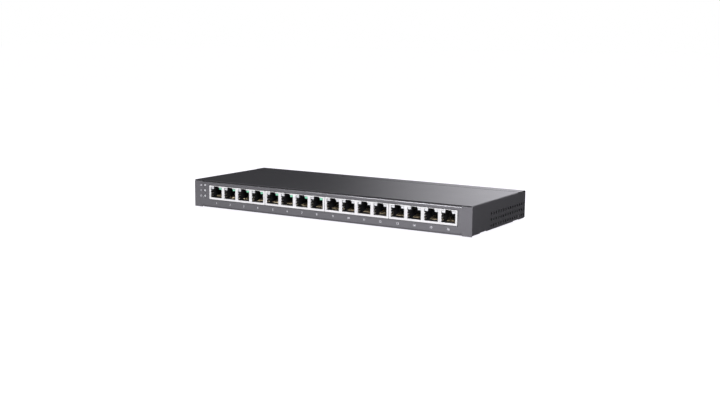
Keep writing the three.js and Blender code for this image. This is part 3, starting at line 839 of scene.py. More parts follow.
def keyhole(x):
    """A head hole with a narrow slot in front of it."""
    head, slot, run = 4.0, 2.0, 8.0
    start = math.asin(slot / head)
    angles = [start + (2 * math.pi - 2 * start) * k / 28 for k in range(29)]
    loop = [Vector((KEYHOLE_Y - head * math.cos(a), x + head * math.sin(a))) for a in angles]
    centre = KEYHOLE_Y - run
    arc = [math.pi / 2 + math.pi * k / 12 for k in range(13)]
    return loop + [Vector((centre + slot * math.cos(a), x - slot * math.sin(a))) for a in arc]


def base_chassis():
    """Front wall, with flat ends, and bottom plate, with lips at its sides, bent from one sheet."""
    flange = FRONT + CHASSIS_FLANGE
    corners = [(flange, WALL_TOP), (FRONT, WALL_TOP), (FRONT, UNDERSIDE), (BACK, UNDERSIDE)]
    profile = Bent(corners, [LIP_BEND, FRONT_BEND])
    wall_start, wall_end, floor_start = profile.marks[2], profile.marks[3], profile.marks[4]
    lip_outer = HALF - SHEET - GAP
    lip_top = UNDERSIDE + CHASSIS_LIP
    lips = Bent(
        [(-lip_outer, lip_top), (-lip_outer, UNDERSIDE), (lip_outer, UNDERSIDE), (lip_outer, lip_top)],
        [FRONT_BEND, FRONT_BEND],
    )
    lip_fold = lip_outer - FRONT_BEND
    lip_edge = lips.total / 2
    flat_half = HALF - TAB_WIDTH

    def wall_s(z):
        return wall_start + (WALL_TOP - LIP_BEND - z)

    def floor_s(y):
        return floor_start + (y - FRONT - FRONT_BEND)

    lip_front = floor_s(FRONT + CHASSIS_LIP_SETBACK)
    lip_back = floor_s(COVER_BACK - SHEET - GAP)

    def fold(s, x, w):
        if s > lip_front - 0.2 and abs(x) > lip_fold:
            y = FRONT + FRONT_BEND + s - floor_start
            across, z = lips.at(lip_edge + x, w)
            return across, y, z
        if abs(x) > flat_half - SLIT / 2 and s < lip_front - 0.3:
            return x, FRONT + w, WALL_TOP - LIP_BEND - (s - wall_start)
        y, z = profile.at(s, w)
        return x, y, z

    inner = flat_half - SLIT
    half = [(0, inner, 0.5), (wall_start + 0.2, inner), (wall_start + 0.2, flat_half)]
    half += [(wall_s(WALL_TOP), flat_half), (wall_s(WALL_TOP), HALF, 0.3), (wall_s(UNDERSIDE), HALF, 0.3)]
    half += [(wall_s(UNDERSIDE), flat_half, 0.8), (wall_end - 0.2, flat_half), (wall_end - 0.2, inner)]
    half += [(lip_front, inner), (lip_front, lip_edge, 0.3)]
    notch = lip_fold + CHASSIS_NOTCH_SHORT
    for place in TAB_Y:
        near, far = floor_s(place - CHASSIS_NOTCH_HALF), floor_s(place + CHASSIS_NOTCH_HALF)
        half += [(near, lip_edge, 0.3), (near, notch, 0.6), (far, notch, 0.6), (far, lip_edge, 0.3)]
    half += [(lip_back, lip_edge, 0.3), (lip_back, inner), (floor_s(BACK) - 0.05, inner, 0.5)]
    outline = rounded(mirrored_across(half), 0.15, 3)

    slot = rectangle(
        wall_s(JACK_HIGH[2] + SLOT_CLEARANCE), wall_s(JACK_LOW[2] - SLOT_CLEARANCE),
        JACK_LOW[0] - SLOT_CLEARANCE, JACK_HIGH[0] + SLOT_CLEARANCE, 0.6,
    )
    holes = [slot]
    holes += [circle(wall_s(z), LIGHT_X, LIGHT_HOLE) for z in LIGHT_HEIGHTS]
    for side in SIDES:
        moved = [Vector((floor_s(p.x), p.y)) for p in keyhole(side * KEYHOLE_X)]
        holes.append(moved)
        holes += [circle(floor_s(y), side * TAB_SCREW_X, SCREW_HOLE) for y in TAB_Y]
        holes.append(circle(floor_s(PANEL_SCREW_Y), side * PANEL_SCREW_X, SCREW_HOLE))
    lines = crease_lines(profile.creases(), -flat_half + SLIT / 2, flat_half - SLIT / 2)
    for x in lips.creases():
        at = x - lip_edge
        lines.append(((lip_front - 0.1, at), (lip_back + 0.1, at)))
    surface = slab(outline, SHEET, fold, holes, creases=lines)
    make_piece("painted_base_chassis", surface, FRONT_PAINT, BODY, ["base_chassis"])


INLET_X, _, INLET_Z = middle("power_inlet_body")
GROUND_X, _, GROUND_Z = middle("ground_washer")
RESET_X, _, RESET_Z = middle("reset_button")
INLET_HOLE = 5.0
GROUND_HOLE = 2.2
RESET_HOLE = 1.4
LOCK_SLOT = (-127.5, -120.5, 13.0, 16.0)


def rear_panel():
    """Rear wall bent into a strip of the top above and a flange on the floor below."""
    flange = BACK - PANEL_FLANGE
    corners = [(flange, PANEL_FLOOR), (BACK, PANEL_FLOOR), (BACK, TOP), (STRIP_FRONT, TOP)]
    profile = Bent(corners, [BEND, BEND])
    wall_start = profile.marks[2]

    def wall_s(z):
        return wall_start + z - PANEL_FLOOR - BEND

    def fold(s, x, w):
        if abs(x) > PANEL_FLOOR_HALF - SLIT / 2 and s < wall_start:
            return x, BACK - w, PANEL_FLOOR + BEND + s - wall_start
        y, z = profile.at(s, w)
        return x, y, z

    inner = PANEL_FLOOR_HALF - SLIT
    wall_low = wall_s(PANEL_FLOOR + 0.1)
    half = [(0, inner, 1.0), (wall_start + 0.3, inner), (wall_start + 0.3, PANEL_FLOOR_HALF)]
    half += [(wall_low, PANEL_FLOOR_HALF), (wall_low, HALF, 0.4)]
    half += [(profile.total, HALF, 0.4)]
    outline = rounded(mirrored_across(half), 0.15, 3)
    left, right, low, high = LOCK_SLOT
    holes = [
        circle(wall_s(INLET_Z), INLET_X, INLET_HOLE, 48),
        circle(wall_s(GROUND_Z), GROUND_X, GROUND_HOLE),
        circle(wall_s(RESET_Z), RESET_X, RESET_HOLE),
        rectangle(wall_s(low), wall_s(high), left, right, 0.8),
    ]
    for side in SIDES:
        holes.append(circle(wall_s(REAR_SCREW_Z), side * REAR_SCREW_X, SCREW_HOLE))
        holes.append(circle(PANEL_SCREW_Y - flange, side * PANEL_SCREW_X, SCREW_HOLE))
    lower = [s for s in profile.creases() if s <= wall_start]
    upper = [s for s in profile.creases() if s > wall_start]
    lines = crease_lines(lower, -PANEL_FLOOR_HALF + 0.2, PANEL_FLOOR_HALF - 0.2)
    lines += crease_lines(upper, -HALF - 1, HALF + 1)
    surface = slab(outline, SHEET, fold, holes, creases=lines)
    make_piece("painted_rear_panel", surface, COVER_PAINT, BODY, ["rear_panel"])


# ---- jacks ----

SHELL_FRONT = JACK_LOW[1]
SHELL_BACK = JACK_HIGH[1]
PORT_SILL = JACK_LOW[2] + 1.9
PORT_TOP = PORT_SILL + 9.75
PORT_HALF = 6.3
CAVITY_HALF = 5.95
NOTCH_HALF = 2.9
NOTCH_FLOOR = PORT_SILL + 7.6
KEY_HALF = 2.85
KEY_TOP_HALF = 2.3
KEY_TOP = JACK_HIGH[2] - 0.25
SOCKET_TOP = PORT_TOP + 0.35
SOCKET_DEPTH = 12.6
HOUSING_FRONT = SHELL_FRONT + 0.55
SHELL_SHEET = 0.5
SHELL_SKIN = 0.02
SPRING_HEIGHTS = [PORT_SILL + up for up in (1.6, 4.0, 6.4)]
CONTACT_PITCH = 1.02
CONTACT_RADIUS = 0.27
CONTACT_LEAN = 0.12


def port_centres(gang):
    centre = middle(f"jack_shell_{gang}")[0]
    first = centre - (PORTS_PER_GANG - 1) / 2 * PORT_PITCH
    return [first + PORT_PITCH * port for port in range(PORTS_PER_GANG)]


def frame_opening(x):
    """The opening in the metal face: a rectangle with a tapered latch notch above."""
    points = [(x - PORT_HALF, PORT_SILL), (x + PORT_HALF, PORT_SILL), (x + PORT_HALF, PORT_TOP)]
    points += [(x + KEY_HALF, PORT_TOP, 0.15), (x + KEY_TOP_HALF, KEY_TOP), (x - KEY_TOP_HALF, KEY_TOP)]
    points += [(x - KEY_HALF, PORT_TOP, 0.15), (x - PORT_HALF, PORT_TOP)]
    return rounded(points, 0.3)


def socket_outline(x):
    """The plug's way in, with the latch's tapered notch on top."""
    half = [(x + CAVITY_HALF, PORT_SILL + 0.25), (x + CAVITY_HALF, NOTCH_FLOOR)]
    half += [(x + NOTCH_HALF, NOTCH_FLOOR, 0.2), (x + NOTCH_HALF, PORT_TOP - 0.6)]
    half += [(x + KEY_TOP_HALF, SOCKET_TOP)]
    return rounded(mirrored(half, 2 * x), 0.25)


LENS_LOW = NOTCH_FLOOR + 0.35
LENS_HIGH = PORT_TOP - 0.12
LENS_NEAR = 3.2
LENS_FAR = 6.1
LENS_GAP = 0.1


def lens_bounds(x, side):
    near, far = x + side * LENS_NEAR, x + side * LENS_FAR
    return min(near, far), max(near, far)


def spring_finger(x, side, z):
    """A narrow strip of the shell that bends into the socket beside a plug."""
    root = x + side * (PORT_HALF - SHELL_SKIN)
    path = [(0.1, -0.05), (0.35, 0.3), (1.0, 0.52), (2.2, 0.6), (3.4, 0.45), (4.4, 0.15)]
    half, thick = 0.8, 0.16
    section = ((0, -half), (thick, -half), (thick, half), (0, half))
    rows = []
    for depth, reach in path:
        rows.append([(root - side * (reach - dx), SHELL_FRONT + depth, z + dz) for dx, dz in section])
    surface = swept(rows)
    if side > 0:
        surface.faces = [face[::-1] for face in surface.faces]
    return surface


def jack_shell(gang):
    low, high = box(f"jack_shell_{gang}")
    outline = rectangle(low[0], high[0], low[2], high[2], 0.6, 6)
    openings = [frame_opening(x) for x in port_centres(gang)]
    face = slab(outline, SHELL_SHEET, facing_front(SHELL_FRONT), openings, edge=0.14)
    skin, sheet = SHELL_SKIN, SHELL_SHEET
    outer = rectangle(low[0] + skin, high[0] - skin, low[2] + skin, high[2] - skin, 0.6, 6)
    hollow = rectangle(low[0] + sheet, high[0] - sheet, low[2] + sheet, high[2] - sheet, 0.3)
    sleeve_front = 0.45
    length = SHELL_BACK - SHELL_FRONT - sleeve_front
    face.join(slab(outer, length, facing_front(SHELL_FRONT + sleeve_front), [hollow], edge=0.1))
    make_piece(f"plated_jack_shell_{gang}", face, TIN_PLATE, BODY, [f"jack_shell_{gang}"])
    springs = Surface()
    for x in port_centres(gang):
        for side in SIDES:
            for z in SPRING_HEIGHTS:
                springs.join(spring_finger(x, side, z))
    make_piece(f"shield_springs_{gang}", springs, TIN_PLATE, BODY)


def jack_housing(gang):
    low, high = box(f"jack_housing_{gang}")
    outline = rectangle(low[0], high[0], low[2], high[2], 0.4)
    sockets, lens_wells = [], []
    for x in port_centres(gang):
        sockets.append((socket_outline(x), SOCKET_DEPTH))
        for side in SIDES:
            left, right = lens_bounds(x, side)
            bottom, top = LENS_LOW - LENS_GAP, LENS_HIGH + LENS_GAP
            well = rectangle(left - LENS_GAP, right + LENS_GAP, bottom, top, 0.15)
            lens_wells.append((well, SOCKET_DEPTH))
    depth = high[1] - HOUSING_FRONT
    wells = sockets + lens_wells
    surface = slab(outline, depth, facing_front(HOUSING_FRONT), pockets=wells, edge=0.06, steps=2)
    rib_half = 0.22
    for x in port_centres(gang):
        for k in range(9):
            at = x + (k - 4) * CONTACT_PITCH
            rib_low = (at - rib_half, SHELL_FRONT + 8.6, PORT_SILL + 0.2)
            rib_high = (at + rib_half, SHELL_FRONT + 13.0, PORT_SILL + 2.3)
            surface.join(block(rib_low, rib_high, 0.05, 0.08))
    name = f"jack_housing_{gang}"
    make_piece(f"moulded_{name}", surface, JACK_PLASTIC, BODY, [name])


def tube(path, radius):
    """A round wire along a path that stays in one YZ plane."""
    sides = 8
    rows = []
    for i, here in enumerate(path):
        before, after = Vector(path[max(i - 1, 0)]), Vector(path[min(i + 1, len(path) - 1)])
        run = (after - before).normalized()
        across = Vector((1, 0, 0))
        up = across.cross(run)
        row = []
        for k in range(sides):
            a = 2 * math.pi * k / sides
            point = Vector(here) + (across * math.cos(a) + up * math.sin(a)) * radius
            row.append(tuple(point))
        rows.append(row)
    return swept(rows)


def jack_contacts(gang):
    """Eight sprung wires a port, which rise to the rear. Every second one stands a little higher."""
    wires = Surface()
    for x in port_centres(gang):
        for k in range(8):
            at = x + (k - 3.5) * CONTACT_PITCH
            lean = CONTACT_LEAN if k % 2 else 0.0
            path = [(5.6, 0.3), (5.75, 0.75), (6.3, 1.0), (8.0, 1.4 + lean), (9.6, 1.9 + lean)]
            path += [(11.2, 2.4), (12.4, 2.8)]
            points = [(at, SHELL_FRONT + d, PORT_SILL + 0.2 + h) for d, h in path]
            wires.join(tube(points, CONTACT_RADIUS))
    make_piece(f"jack_contacts_{gang}", wires, GOLD, BODY)


def jack_lenses(gang):
    """Two lights above each port. The right ones of the first two gangs are lit green."""
    node_name = f"jack_lenses_{gang}"
    front = SHELL_FRONT + 0.35
    length = SHELL_FRONT + SOCKET_DEPTH - front
    clear, green = Surface(), Surface()
    for x in port_centres(gang):
        for side in SIDES:
            left, right = lens_bounds(x, side)
            outline = rectangle(left, right, LENS_LOW, LENS_HIGH, 0.25)
            lens = slab(outline, length, facing_front(front), edge=0.22, steps=4)
            lit = side > 0 and gang in (1, 2)
            (green if lit else clear).join(lens)
    make_piece(f"clear_jack_lenses_{gang}", clear, CLEAR_LENS, BODY, [node_name])
    if green.points:
        make_piece(f"green_jack_lenses_{gang}", green, GREEN_LENS, BODY)


# ---- lights, feet, screws and connectors ----

def status_light(i):
    """A rod with a domed tip in the front wall, and a leg down to the board behind it."""
    name = LIGHTS[i]
    low, high = box(name)
    z = LIGHT_HEIGHTS[i]
    leg_y = high[1] - LIGHT_RADIUS
    length = high[1] - low[1]
    rod = [(0, 0), (0.5, 0.04), (0.9, 0.2), (1.12, 0.5), (LIGHT_RADIUS, 0.9)]
    rod += [(LIGHT_RADIUS, length - 0.3), (0.9, length), (0, length)]
    leg = [(0, low[2]), (1.0, low[2]), (1.15, low[2] + 0.15), (1.15, z), (0, z)]
    pipe = lathe(rod, lambda a, b, h: (LIGHT_X + a, low[1] + h, z + b), 32)
    pipe.join(lathe(leg, standing(LIGHT_X, leg_y), 32))
    make_piece(f"clear_status_light_{i + 1}", pipe, CLEAR_LENS, BODY, [name])


def foot(name):
    low, high = box(name)
    x, y, _ = middle(name)
    radius, height = (high[0] - low[0]) / 2, high[2]
    profile = [(0, 0.35), (3.2, 0.35), (3.5, 0.3), (3.7, 0.05), (4.0, 0)]
    profile += [(radius - 1.2, 0), (radius - 0.85, 0.08), (radius - 0.6, 0.3), (radius - 0.1, height - 0.2)]
    profile += [(radius, height - 0.05), (radius - 0.05, height), (0, height)]
    make_piece(f"rubber_{name}", lathe(profile, standing(x, y), 48), RUBBER, BODY, [name])


def cross_radius(angle, arm, reach):
    """The outline of a screwdriver cross, as a distance from its centre."""
    cos, sin = abs(math.cos(angle)) + 1e-9, abs(math.sin(angle)) + 1e-9
    return max(min(reach / cos, arm / sin), min(arm / cos, reach / sin))


HEAD_HEIGHTS = {2.8: 0.9, 2.6: 1.3, 2.9: 1.7, 3.8: 1.2}  # by the head's radius
THREAD_PITCH = 0.5


def screw(length, head, rise, place):
    """A domed head of a radius and rise, with a cross recess, on a threaded shank.

    In place(a, b, h), h is 0 under the head and grows out of it.
    """
    shank = head * 0.45
    profile = [(0, rise - length), (shank * 0.7, rise - length), (shank, rise - length + 0.5)]
    turns = int((length - rise - 1.0) / THREAD_PITCH)
    for k in range(turns):
        at = rise - length + 0.6 + THREAD_PITCH * k
        profile += [(shank, at), (shank * 0.84, at + 0.2)]
    profile += [(shank * 0.9, 0), (head * 0.97, 0), (head, 0.06), (head, rise * 0.35)]
    profile += [(head * 0.95, rise * 0.62), (head * 0.82, rise * 0.86), (head * 0.62, rise * 0.98)]
    first_cross = len(profile)
    profile += [(head * 0.52, rise), (head * 0.5, rise - 0.08)]
    profile += [(head * 0.3, rise - head * 0.36), (0, rise - head * 0.4)]

    def shape(radius, row, angle):
        if row < first_cross:
            return radius
        return cross_radius(angle, radius * 0.24, radius)

    return lathe(profile, place, 64, shape)


def add_screw(name, material, away=2, out=1):
    """A screw along Y (away 1) or Z (away 2), whose head is at the high end (out 1) or the low end (-1)."""
    low, high = box(name)
    x, y, z = middle(name)
    spans = [h - l for l, h in zip(low, high)]
    head = max(span for i, span in enumerate(spans) if i != away) / 2
    rise = HEAD_HEIGHTS[round(head, 1)]
    seat = (high[away] - rise) if out > 0 else (low[away] + rise)
    if away == 2:
        place = (lambda a, b, h: (x + a, y + out * b, seat + out * h))
    else:
        place = pointing_rear(x, seat, z)
    surface = screw(spans[away], head, rise, place)
    make_piece(f"threaded_{name}", surface, material, BODY, [name])


def power_inlet():
    name = "power_inlet_body"
    low, high = box(name)
    x, z = INLET_X, INLET_Z
    face = COVER_BACK
    bore, bore_depth, nose_radius = 3.2, 9.5, 4.6
    body = slab(
        rectangle(low[0], high[0], low[2], high[2], 0.5), face - low[1], facing_rear(face),
        pockets=[(circle(x, z, bore, 40), face - (high[1] - bore_depth))], edge=0.2,
    )
    nose = slab(
        circle(x, z, nose_radius, 64), high[1] - face + 0.05, facing_rear(high[1]),
        [circle(x, z, bore, 40)], edge=0.3, steps=4,
    )
    make_piece("moulded_power_inlet", body.join(nose), JACK_PLASTIC, BODY, [name])
    pin_low, pin_high = box("power_inlet_pin")
    length = pin_high[1] - pin_low[1]
    profile = [(0, 0), (1, 0), (1, length - 0.5), (0.85, length - 0.2), (0.5, length), (0, length)]
    pin = lathe(profile, pointing_rear(x, pin_low[1], z), 32)
    make_piece("turned_inlet_pin", pin, ZINC, BODY, ["power_inlet_pin"])


def ground_terminal():
    low, high = box("ground_washer")
    radius = (high[0] - low[0]) / 2
    ring = slab(
        circle(GROUND_X, GROUND_Z, radius, 64), high[1] - low[1], facing_rear(high[1]),
        [circle(GROUND_X, GROUND_Z, GROUND_HOLE, 40)], edge=0.12,
    )
    make_piece("plated_ground_washer", ring, ZINC, BODY, ["ground_washer"])
    add_screw("ground_screw", ZINC, 1)


def reset_button():
    name = "reset_button"
    low, high = box(name)
    length = high[1] - low[1]
    profile = [(0, 0), (1.6, 0), (1.7, 0.1), (1.7, 1.1), (1.6, 1.2), (1.0, 1.25)]
    profile += [(1.0, length - 0.3), (0.85, length - 0.08), (0.6, length), (0, length)]
    surface = lathe(profile, pointing_rear(RESET_X, low[1], RESET_Z), 40)
    make_piece("moulded_reset_button", surface, JACK_PLASTIC, "reset_button", [name])


# ---- printing ----

PRINT_THICK = 0.03
PRINT_GAP = 0.01
DIGIT_HEIGHT = 1.9
DIGIT_SHARE = 0.72  # of the font's size
NUMBER_Z = 6.05


def printed_number(number, x):
    """Digits of Blender's own plain font, as a thin layer of ink on the front wall."""
    text = bpy.data.curves.new(f"digits_{number}", "FONT")
    text.body = str(number)
    text.align_x = "CENTER"
    text.align_y = "CENTER"
    text.size = DIGIT_HEIGHT / DIGIT_SHARE
    text.extrude = PRINT_THICK / 2
    text.offset = 0.01
    text.resolution_u = 4
    holder = bpy.data.objects.new("digits", text)
    bpy.context.scene.collection.objects.link(holder)
    bpy.context.view_layer.update()
    mesh = bpy.data.meshes.new_from_object(holder.evaluated_get(bpy.context.evaluated_depsgraph_get()))
    bpy.data.objects.remove(holder)
    stand_up = Matrix.Rotation(math.pi / 2, 4, "X")
    place = Matrix.Translation((x, FRONT - PRINT_THICK / 2 - PRINT_GAP, NUMBER_Z))
    mesh.transform(Matrix.Scale(MM, 4) @ place @ stand_up)
    mesh.materials.clear()
    mesh.materials.append(PRINT)
    close_up(mesh)
    piece = bpy.data.objects.new(f"printed_number_{number}", mesh)
    bpy.context.scene.collection.objects.link(piece)
    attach(piece, BODY)


def printed_shape(name, outlines):
    surface = Surface()
    for outline in outlines:
        layer = facing_front(FRONT - PRINT_THICK - PRINT_GAP)
        surface.join(slab(outline, PRINT_THICK, layer, edge=0.008, steps=1))
    make_piece(name, surface, PRINT, BODY)


def light_symbols():
    """Plain symbols left of the lights: bars for load, a bolt for port power, and a power mark."""
    x = LIGHT_X - 4.4
    low, mid, high = LIGHT_HEIGHTS
    bars = []
    for k in range(3):
        left, right = x - 1.2 + 0.85 * k, x - 0.65 + 0.85 * k
        bars.append(rectangle(left, right, high - 0.9, high - 0.3 + 0.45 * k, 0.08))
    printed_shape("printed_load_symbol", bars)
    bolt = [(x + 0.45, mid + 1.0), (x - 0.75, mid - 0.1), (x - 0.1, mid - 0.1), (x - 0.45, mid - 1.0)]
    bolt += [(x + 0.75, mid + 0.15), (x + 0.1, mid + 0.15)]
    printed_shape("printed_bolt_symbol", [rounded(bolt, 0.05, 2)])
    start, stop = math.radians(125), math.radians(415)
    arc = [start + (stop - start) * k / 24 for k in range(25)]
    ring = [Vector((x + 0.95 * math.cos(a), low - 0.1 + 0.95 * math.sin(a))) for a in arc]
    ring += [Vector((x + 0.65 * math.cos(a), low - 0.1 + 0.65 * math.sin(a))) for a in reversed(arc)]
    stroke = rectangle(x - 0.15, x + 0.15, low, low + 1.05, 0.08)
    printed_shape("printed_power_symbol", [ring, stroke])


# ---- on the board ----

BOARD_TOP = box("circuit_board")[1][2]
ALL_ROUND = ((1, 0), (-1, 0), (0, 1), (0, -1))
FRONT_AND_REAR = ((0, 1), (0, -1))
RESISTOR_Y = -19.5
RESISTOR_STEP = 3.2


def gull_leads(name, pitch, width, sides):
    """Bent leads from a chip's sides down to the board. sides are outward directions such as (1, 0)."""
    low, high = box(name)
    thick, reach = 0.18, 1.1
    exit_z = low[2] + 0.55 * (high[2] - low[2])
    path = [(-0.3, exit_z), (0.35, exit_z), (0.6, BOARD_TOP + thick), (reach, BOARD_TOP + thick)]
    section = ((-width / 2, -thick), (width / 2, -thick), (width / 2, 0), (-width / 2, 0))
    leads = Surface()
    for out_x, out_y in sides:
        span = (high[1] - low[1]) if out_x else (high[0] - low[0])
        count = int((span - 1.5) / pitch) + 1
        face = (high if out_x + out_y > 0 else low)[0 if out_x else 1]
        centre = middle(name)[1 if out_x else 0]
        for k in range(count):
            along = centre + (k - (count - 1) / 2) * pitch
            rows = []
            for reached, z in path:
                across = face + (out_x + out_y) * reached
                row = []
                for da, dz in section:
                    x, y = (across, along + da) if out_x else (along + da, across)
                    row.append((x, y, z + dz + 0.02))
                rows.append(row)
            leads.join(swept(rows))
    make_piece(f"{name}_leads", leads, TIN_PLATE, BODY)


def capacitor(name):
    """A sleeved can with a crimp near its foot, and a bare metal top with a low ring."""
    low, high = box(name)
    x, y, _ = middle(name)
    radius, base, top = (high[0] - low[0]) / 2, low[2], high[2]
    sleeve = [(0, base), (radius - 0.7, base), (radius - 0.15, base + 0.25), (radius, base + 0.7)]
    sleeve += [(radius, base + 1.5), (radius - 0.45, base + 2.0), (radius - 0.45, base + 2.3)]
    sleeve += [(radius, base + 2.8), (radius, top - 0.6), (radius - 0.15, top - 0.2)]
    sleeve += [(radius - 0.5, top - 0.03), (radius - 1.1, top - 0.05), (radius - 1.15, top - 0.25)]
    sleeve += [(0, top - 0.25)]
    can = lathe(sleeve, standing(x, y), 64)
    make_piece(f"sleeved_{name}", can, SLEEVE, BODY, [name])
    lid = [(0, top - 0.24), (radius - 1.18, top - 0.24), (radius - 1.18, top - 0.1)]
    lid += [(radius - 1.3, top - 0.06), (radius - 1.6, top - 0.12), (0.25, top - 0.12), (0, top - 0.16)]
    make_piece(f"{name}_lid", lathe(lid, standing(x, y), 64), ZINC, BODY)


def inductor():
    """A ferrite block with rounded corners and a flat wire showing at two sides."""
    name = "storage_inductor"
    low, high = box(name)
    core = block(low, high, 0.4, 1.2)
    make_piece("pressed_storage_inductor", core, FERRITE, BODY, [name])
    ends = Surface()
    for side in SIDES:
        face = high[0] if side > 0 else low[0]
        end_low = (face - 0.1, low[1] + 3.5, low[2] - 0.15)
        end_high = (face + 0.25, high[1] - 3.5, low[2] + 2.4)
        ends.join(block(end_low, end_high, 0.05, 0.08))
    make_piece("storage_inductor_ends", ends, TIN_PLATE, BODY)


def soldered_block(x, y, half_length, height):
    low = (x - half_length, y - 0.4, BOARD_TOP)
    high = (x + half_length, y + 0.4, BOARD_TOP + height)
    return block(low, high, 0.05, 0.08, 1)


def soldered_parts():
    """A row of small surface-mounted parts between the jacks' magnetics and the switch chip."""
    bodies, ends = Surface(), Surface()
    for gang in GANGS:
        for port, x in enumerate(port_centres(gang)):
            for k in range(3):
                at = x - RESISTOR_STEP + RESISTOR_STEP * k
                y = RESISTOR_Y + 0.9 * ((port + k) % 2)
                bodies.join(soldered_block(at, y, 0.5, 0.5))
                for side in SIDES:
                    ends.join(soldered_block(at + side * 0.65, y, 0.2, 0.52))
    make_piece("surface_resistors", bodies, CHIP_RESIN, BODY)
    make_piece("surface_resistor_ends", ends, TIN_PLATE, BODY)


# ---- kept inner nodes ----

INNER = {
    "circuit_board": BOARD_MASK,
    "insulating_sheet": FILM,
    "switch_chip": CHIP_RESIN,
    "thermal_pad": THERMAL_PAD,
    "heatsink": HEATSINK_BLACK,
    "light_pipe_holder": JACK_PLASTIC,
    "reset_switch_body": JACK_PLASTIC,
    "port_power_chip_1": CHIP_RESIN,
    "port_power_chip_2": CHIP_RESIN,
}
WELD_DISTANCE = 0.001
INNER_EDGE = 0.15
FLAT_ANGLE = math.radians(2)


def finish_inner_nodes():
    """Gives the carried-over CAD nodes their materials and soft edges."""
    looks = dict(INNER)
    looks.update({f"magnetics_{gang}": CHIP_RESIN for gang in GANGS})
    looks.update({name: ZINC for name in frame["nodes"] if name.startswith("standoff_")})
    for name, material in looks.items():
        piece = frame["nodes"][name]
        piece.data.materials.clear()
        piece.data.materials.append(material)
        weld = piece.modifiers.new("joined_corners", "WELD")
        weld.merge_threshold = WELD_DISTANCE * MM
        merge = piece.modifiers.new("flat_faces", "DECIMATE")
        merge.decimate_type = "DISSOLVE"
        merge.angle_limit = FLAT_ANGLE
        soften = piece.modifiers.new("soft_edges", "BEVEL")
        soften.width = INNER_EDGE * MM
        soften.segments = 2
        soften.limit_method = "ANGLE"
        soften.angle_limit = SHARP_ANGLE
        soften.harden_normals = True


# ---- camera, floor and light ----

# The camera's place is in millimetres, its angles are in degrees.
CAMERA_PLACE = (497.2642, -821.3087, 158.8193)
CAMERA_AZIMUTH = 30.9829
CAMERA_ELEVATION = 8.8024
CAMERA_ROLL = 0.5992
CAMERA_LENS = 53.0173


def add_camera():
    data = bpy.data.cameras.new("camera")
    data.lens = CAMERA_LENS
    data.sensor_width = 36
    data.clip_start = 0.01
    data.clip_end = 60
    camera = bpy.data.objects.new("camera", data)
    bpy.context.scene.collection.objects.link(camera)
    a, e, r = (math.radians(v) for v in (CAMERA_AZIMUTH, CAMERA_ELEVATION, CAMERA_ROLL))
    back = Vector((math.sin(a) * math.cos(e), -math.cos(a) * math.cos(e), math.sin(e)))
    right = Vector((math.cos(a), math.sin(a), 0))
    up = back.cross(right)
    tilted_right = right * math.cos(r) + up * math.sin(r)
    tilted_up = up * math.cos(r) - right * math.sin(r)
    turn = Matrix((tilted_right, tilted_up, back)).transposed().to_4x4()
    camera.matrix_world = Matrix.Translation([c * MM for c in CAMERA_PLACE]) @ turn
    bpy.context.scene.camera = camera


def heading(azimuth, elevation):
    """A direction: azimuth is turned from +Y towards -X, both in degrees."""
    a, e = math.radians(azimuth), math.radians(elevation)
    return (-math.sin(a) * math.cos(e), math.cos(a) * math.cos(e), math.sin(e))


# Glows: name, direction, inner and outer radius in degrees, strength.
# Softboxes: name, place in metres, width and height in metres, power. All face the origin.
# Gleams light only the pieces whose names start so. Unmirrored boxes show in no reflection.
STUDIO_COLOUR = tint(0.99, 0.975, 1.035)
FLOOR_GLOW = 0.95
FLOOR_REACH = 12.0  # in metres
ROOM = 0.02
GLOWS = [
    ("back_glow", heading(7, 8), 9, 26, 2.45),
    ("front_glow", heading(149, -9), 10, 30, 1.3),
    ("ceiling_glow", heading(90, 75), 20, 55, 0.5),
    ("back_right_glow", heading(-31, -8), 8, 24, 0.03),
    ("right_glow", heading(-100, -5), 8, 40, 0.3),
]
SOFTBOXES = [
    ("overhead_box", (-0.1, 0.0, 0.7), (0.4, 0.35), 2.3),
    ("key_box", (-0.25, -0.47, 0.55), (0.3, 0.15), 1.0),
    ("front_box", (0.33, -0.38, 0.2), (0.2, 0.2), 2.5),
    ("gleam_box", (-0.17, -0.47, 0.55), (0.32, 0.15), 9.0),
    ("front_gleam_box", (0.33, -0.38, 0.2), (0.2, 0.2), 2.5),
]
GLEAMS = {
    "gleam_box": ("painted_base_chassis", "jack_contacts"),
    "front_gleam_box": ("plated_jack_shell", "shield_springs", "jack_contacts"),
}
UNMIRRORED = ("front_box",)


def add_floor():
    """A pale light table. Reflections look past it, to the studio."""
    material = finish(
        "floor", (0.26, 0.26, 0.26), (0.28, 0.28, 0.28), (0.9, 1.0), patch=400, grain=3, height=0,
        Specular_IOR_Level=0.0, Emission_Color=STUDIO_COLOUR, Emission_Strength=FLOOR_GLOW,
    )
    reach = FLOOR_REACH
    corners = [(-reach, -reach, 0), (reach, -reach, 0), (reach, reach, 0), (-reach, reach, 0)]
    mesh = bpy.data.meshes.new("floor")
    mesh.from_pydata(corners, [], [(0, 1, 2, 3)])
    mesh.materials.append(material)
    floor = bpy.data.objects.new("floor", mesh)
    floor.visible_glossy = False
    bpy.context.scene.collection.objects.link(floor)


def softbox(name, place, size, power):
    data = bpy.data.lights.new(name, "AREA")
    data.shape = "RECTANGLE"
    data.size, data.size_y = size
    data.energy = power
    data.color = STUDIO_COLOUR[:3]
    light = bpy.data.objects.new(name, data)
    light.location = place
    light.rotation_euler = (-Vector(place)).to_track_quat("-Z", "Y").to_euler()
    light.visible_diffuse = name not in GLEAMS
    light.visible_glossy = name not in UNMIRRORED
    bpy.context.scene.collection.objects.link(light)


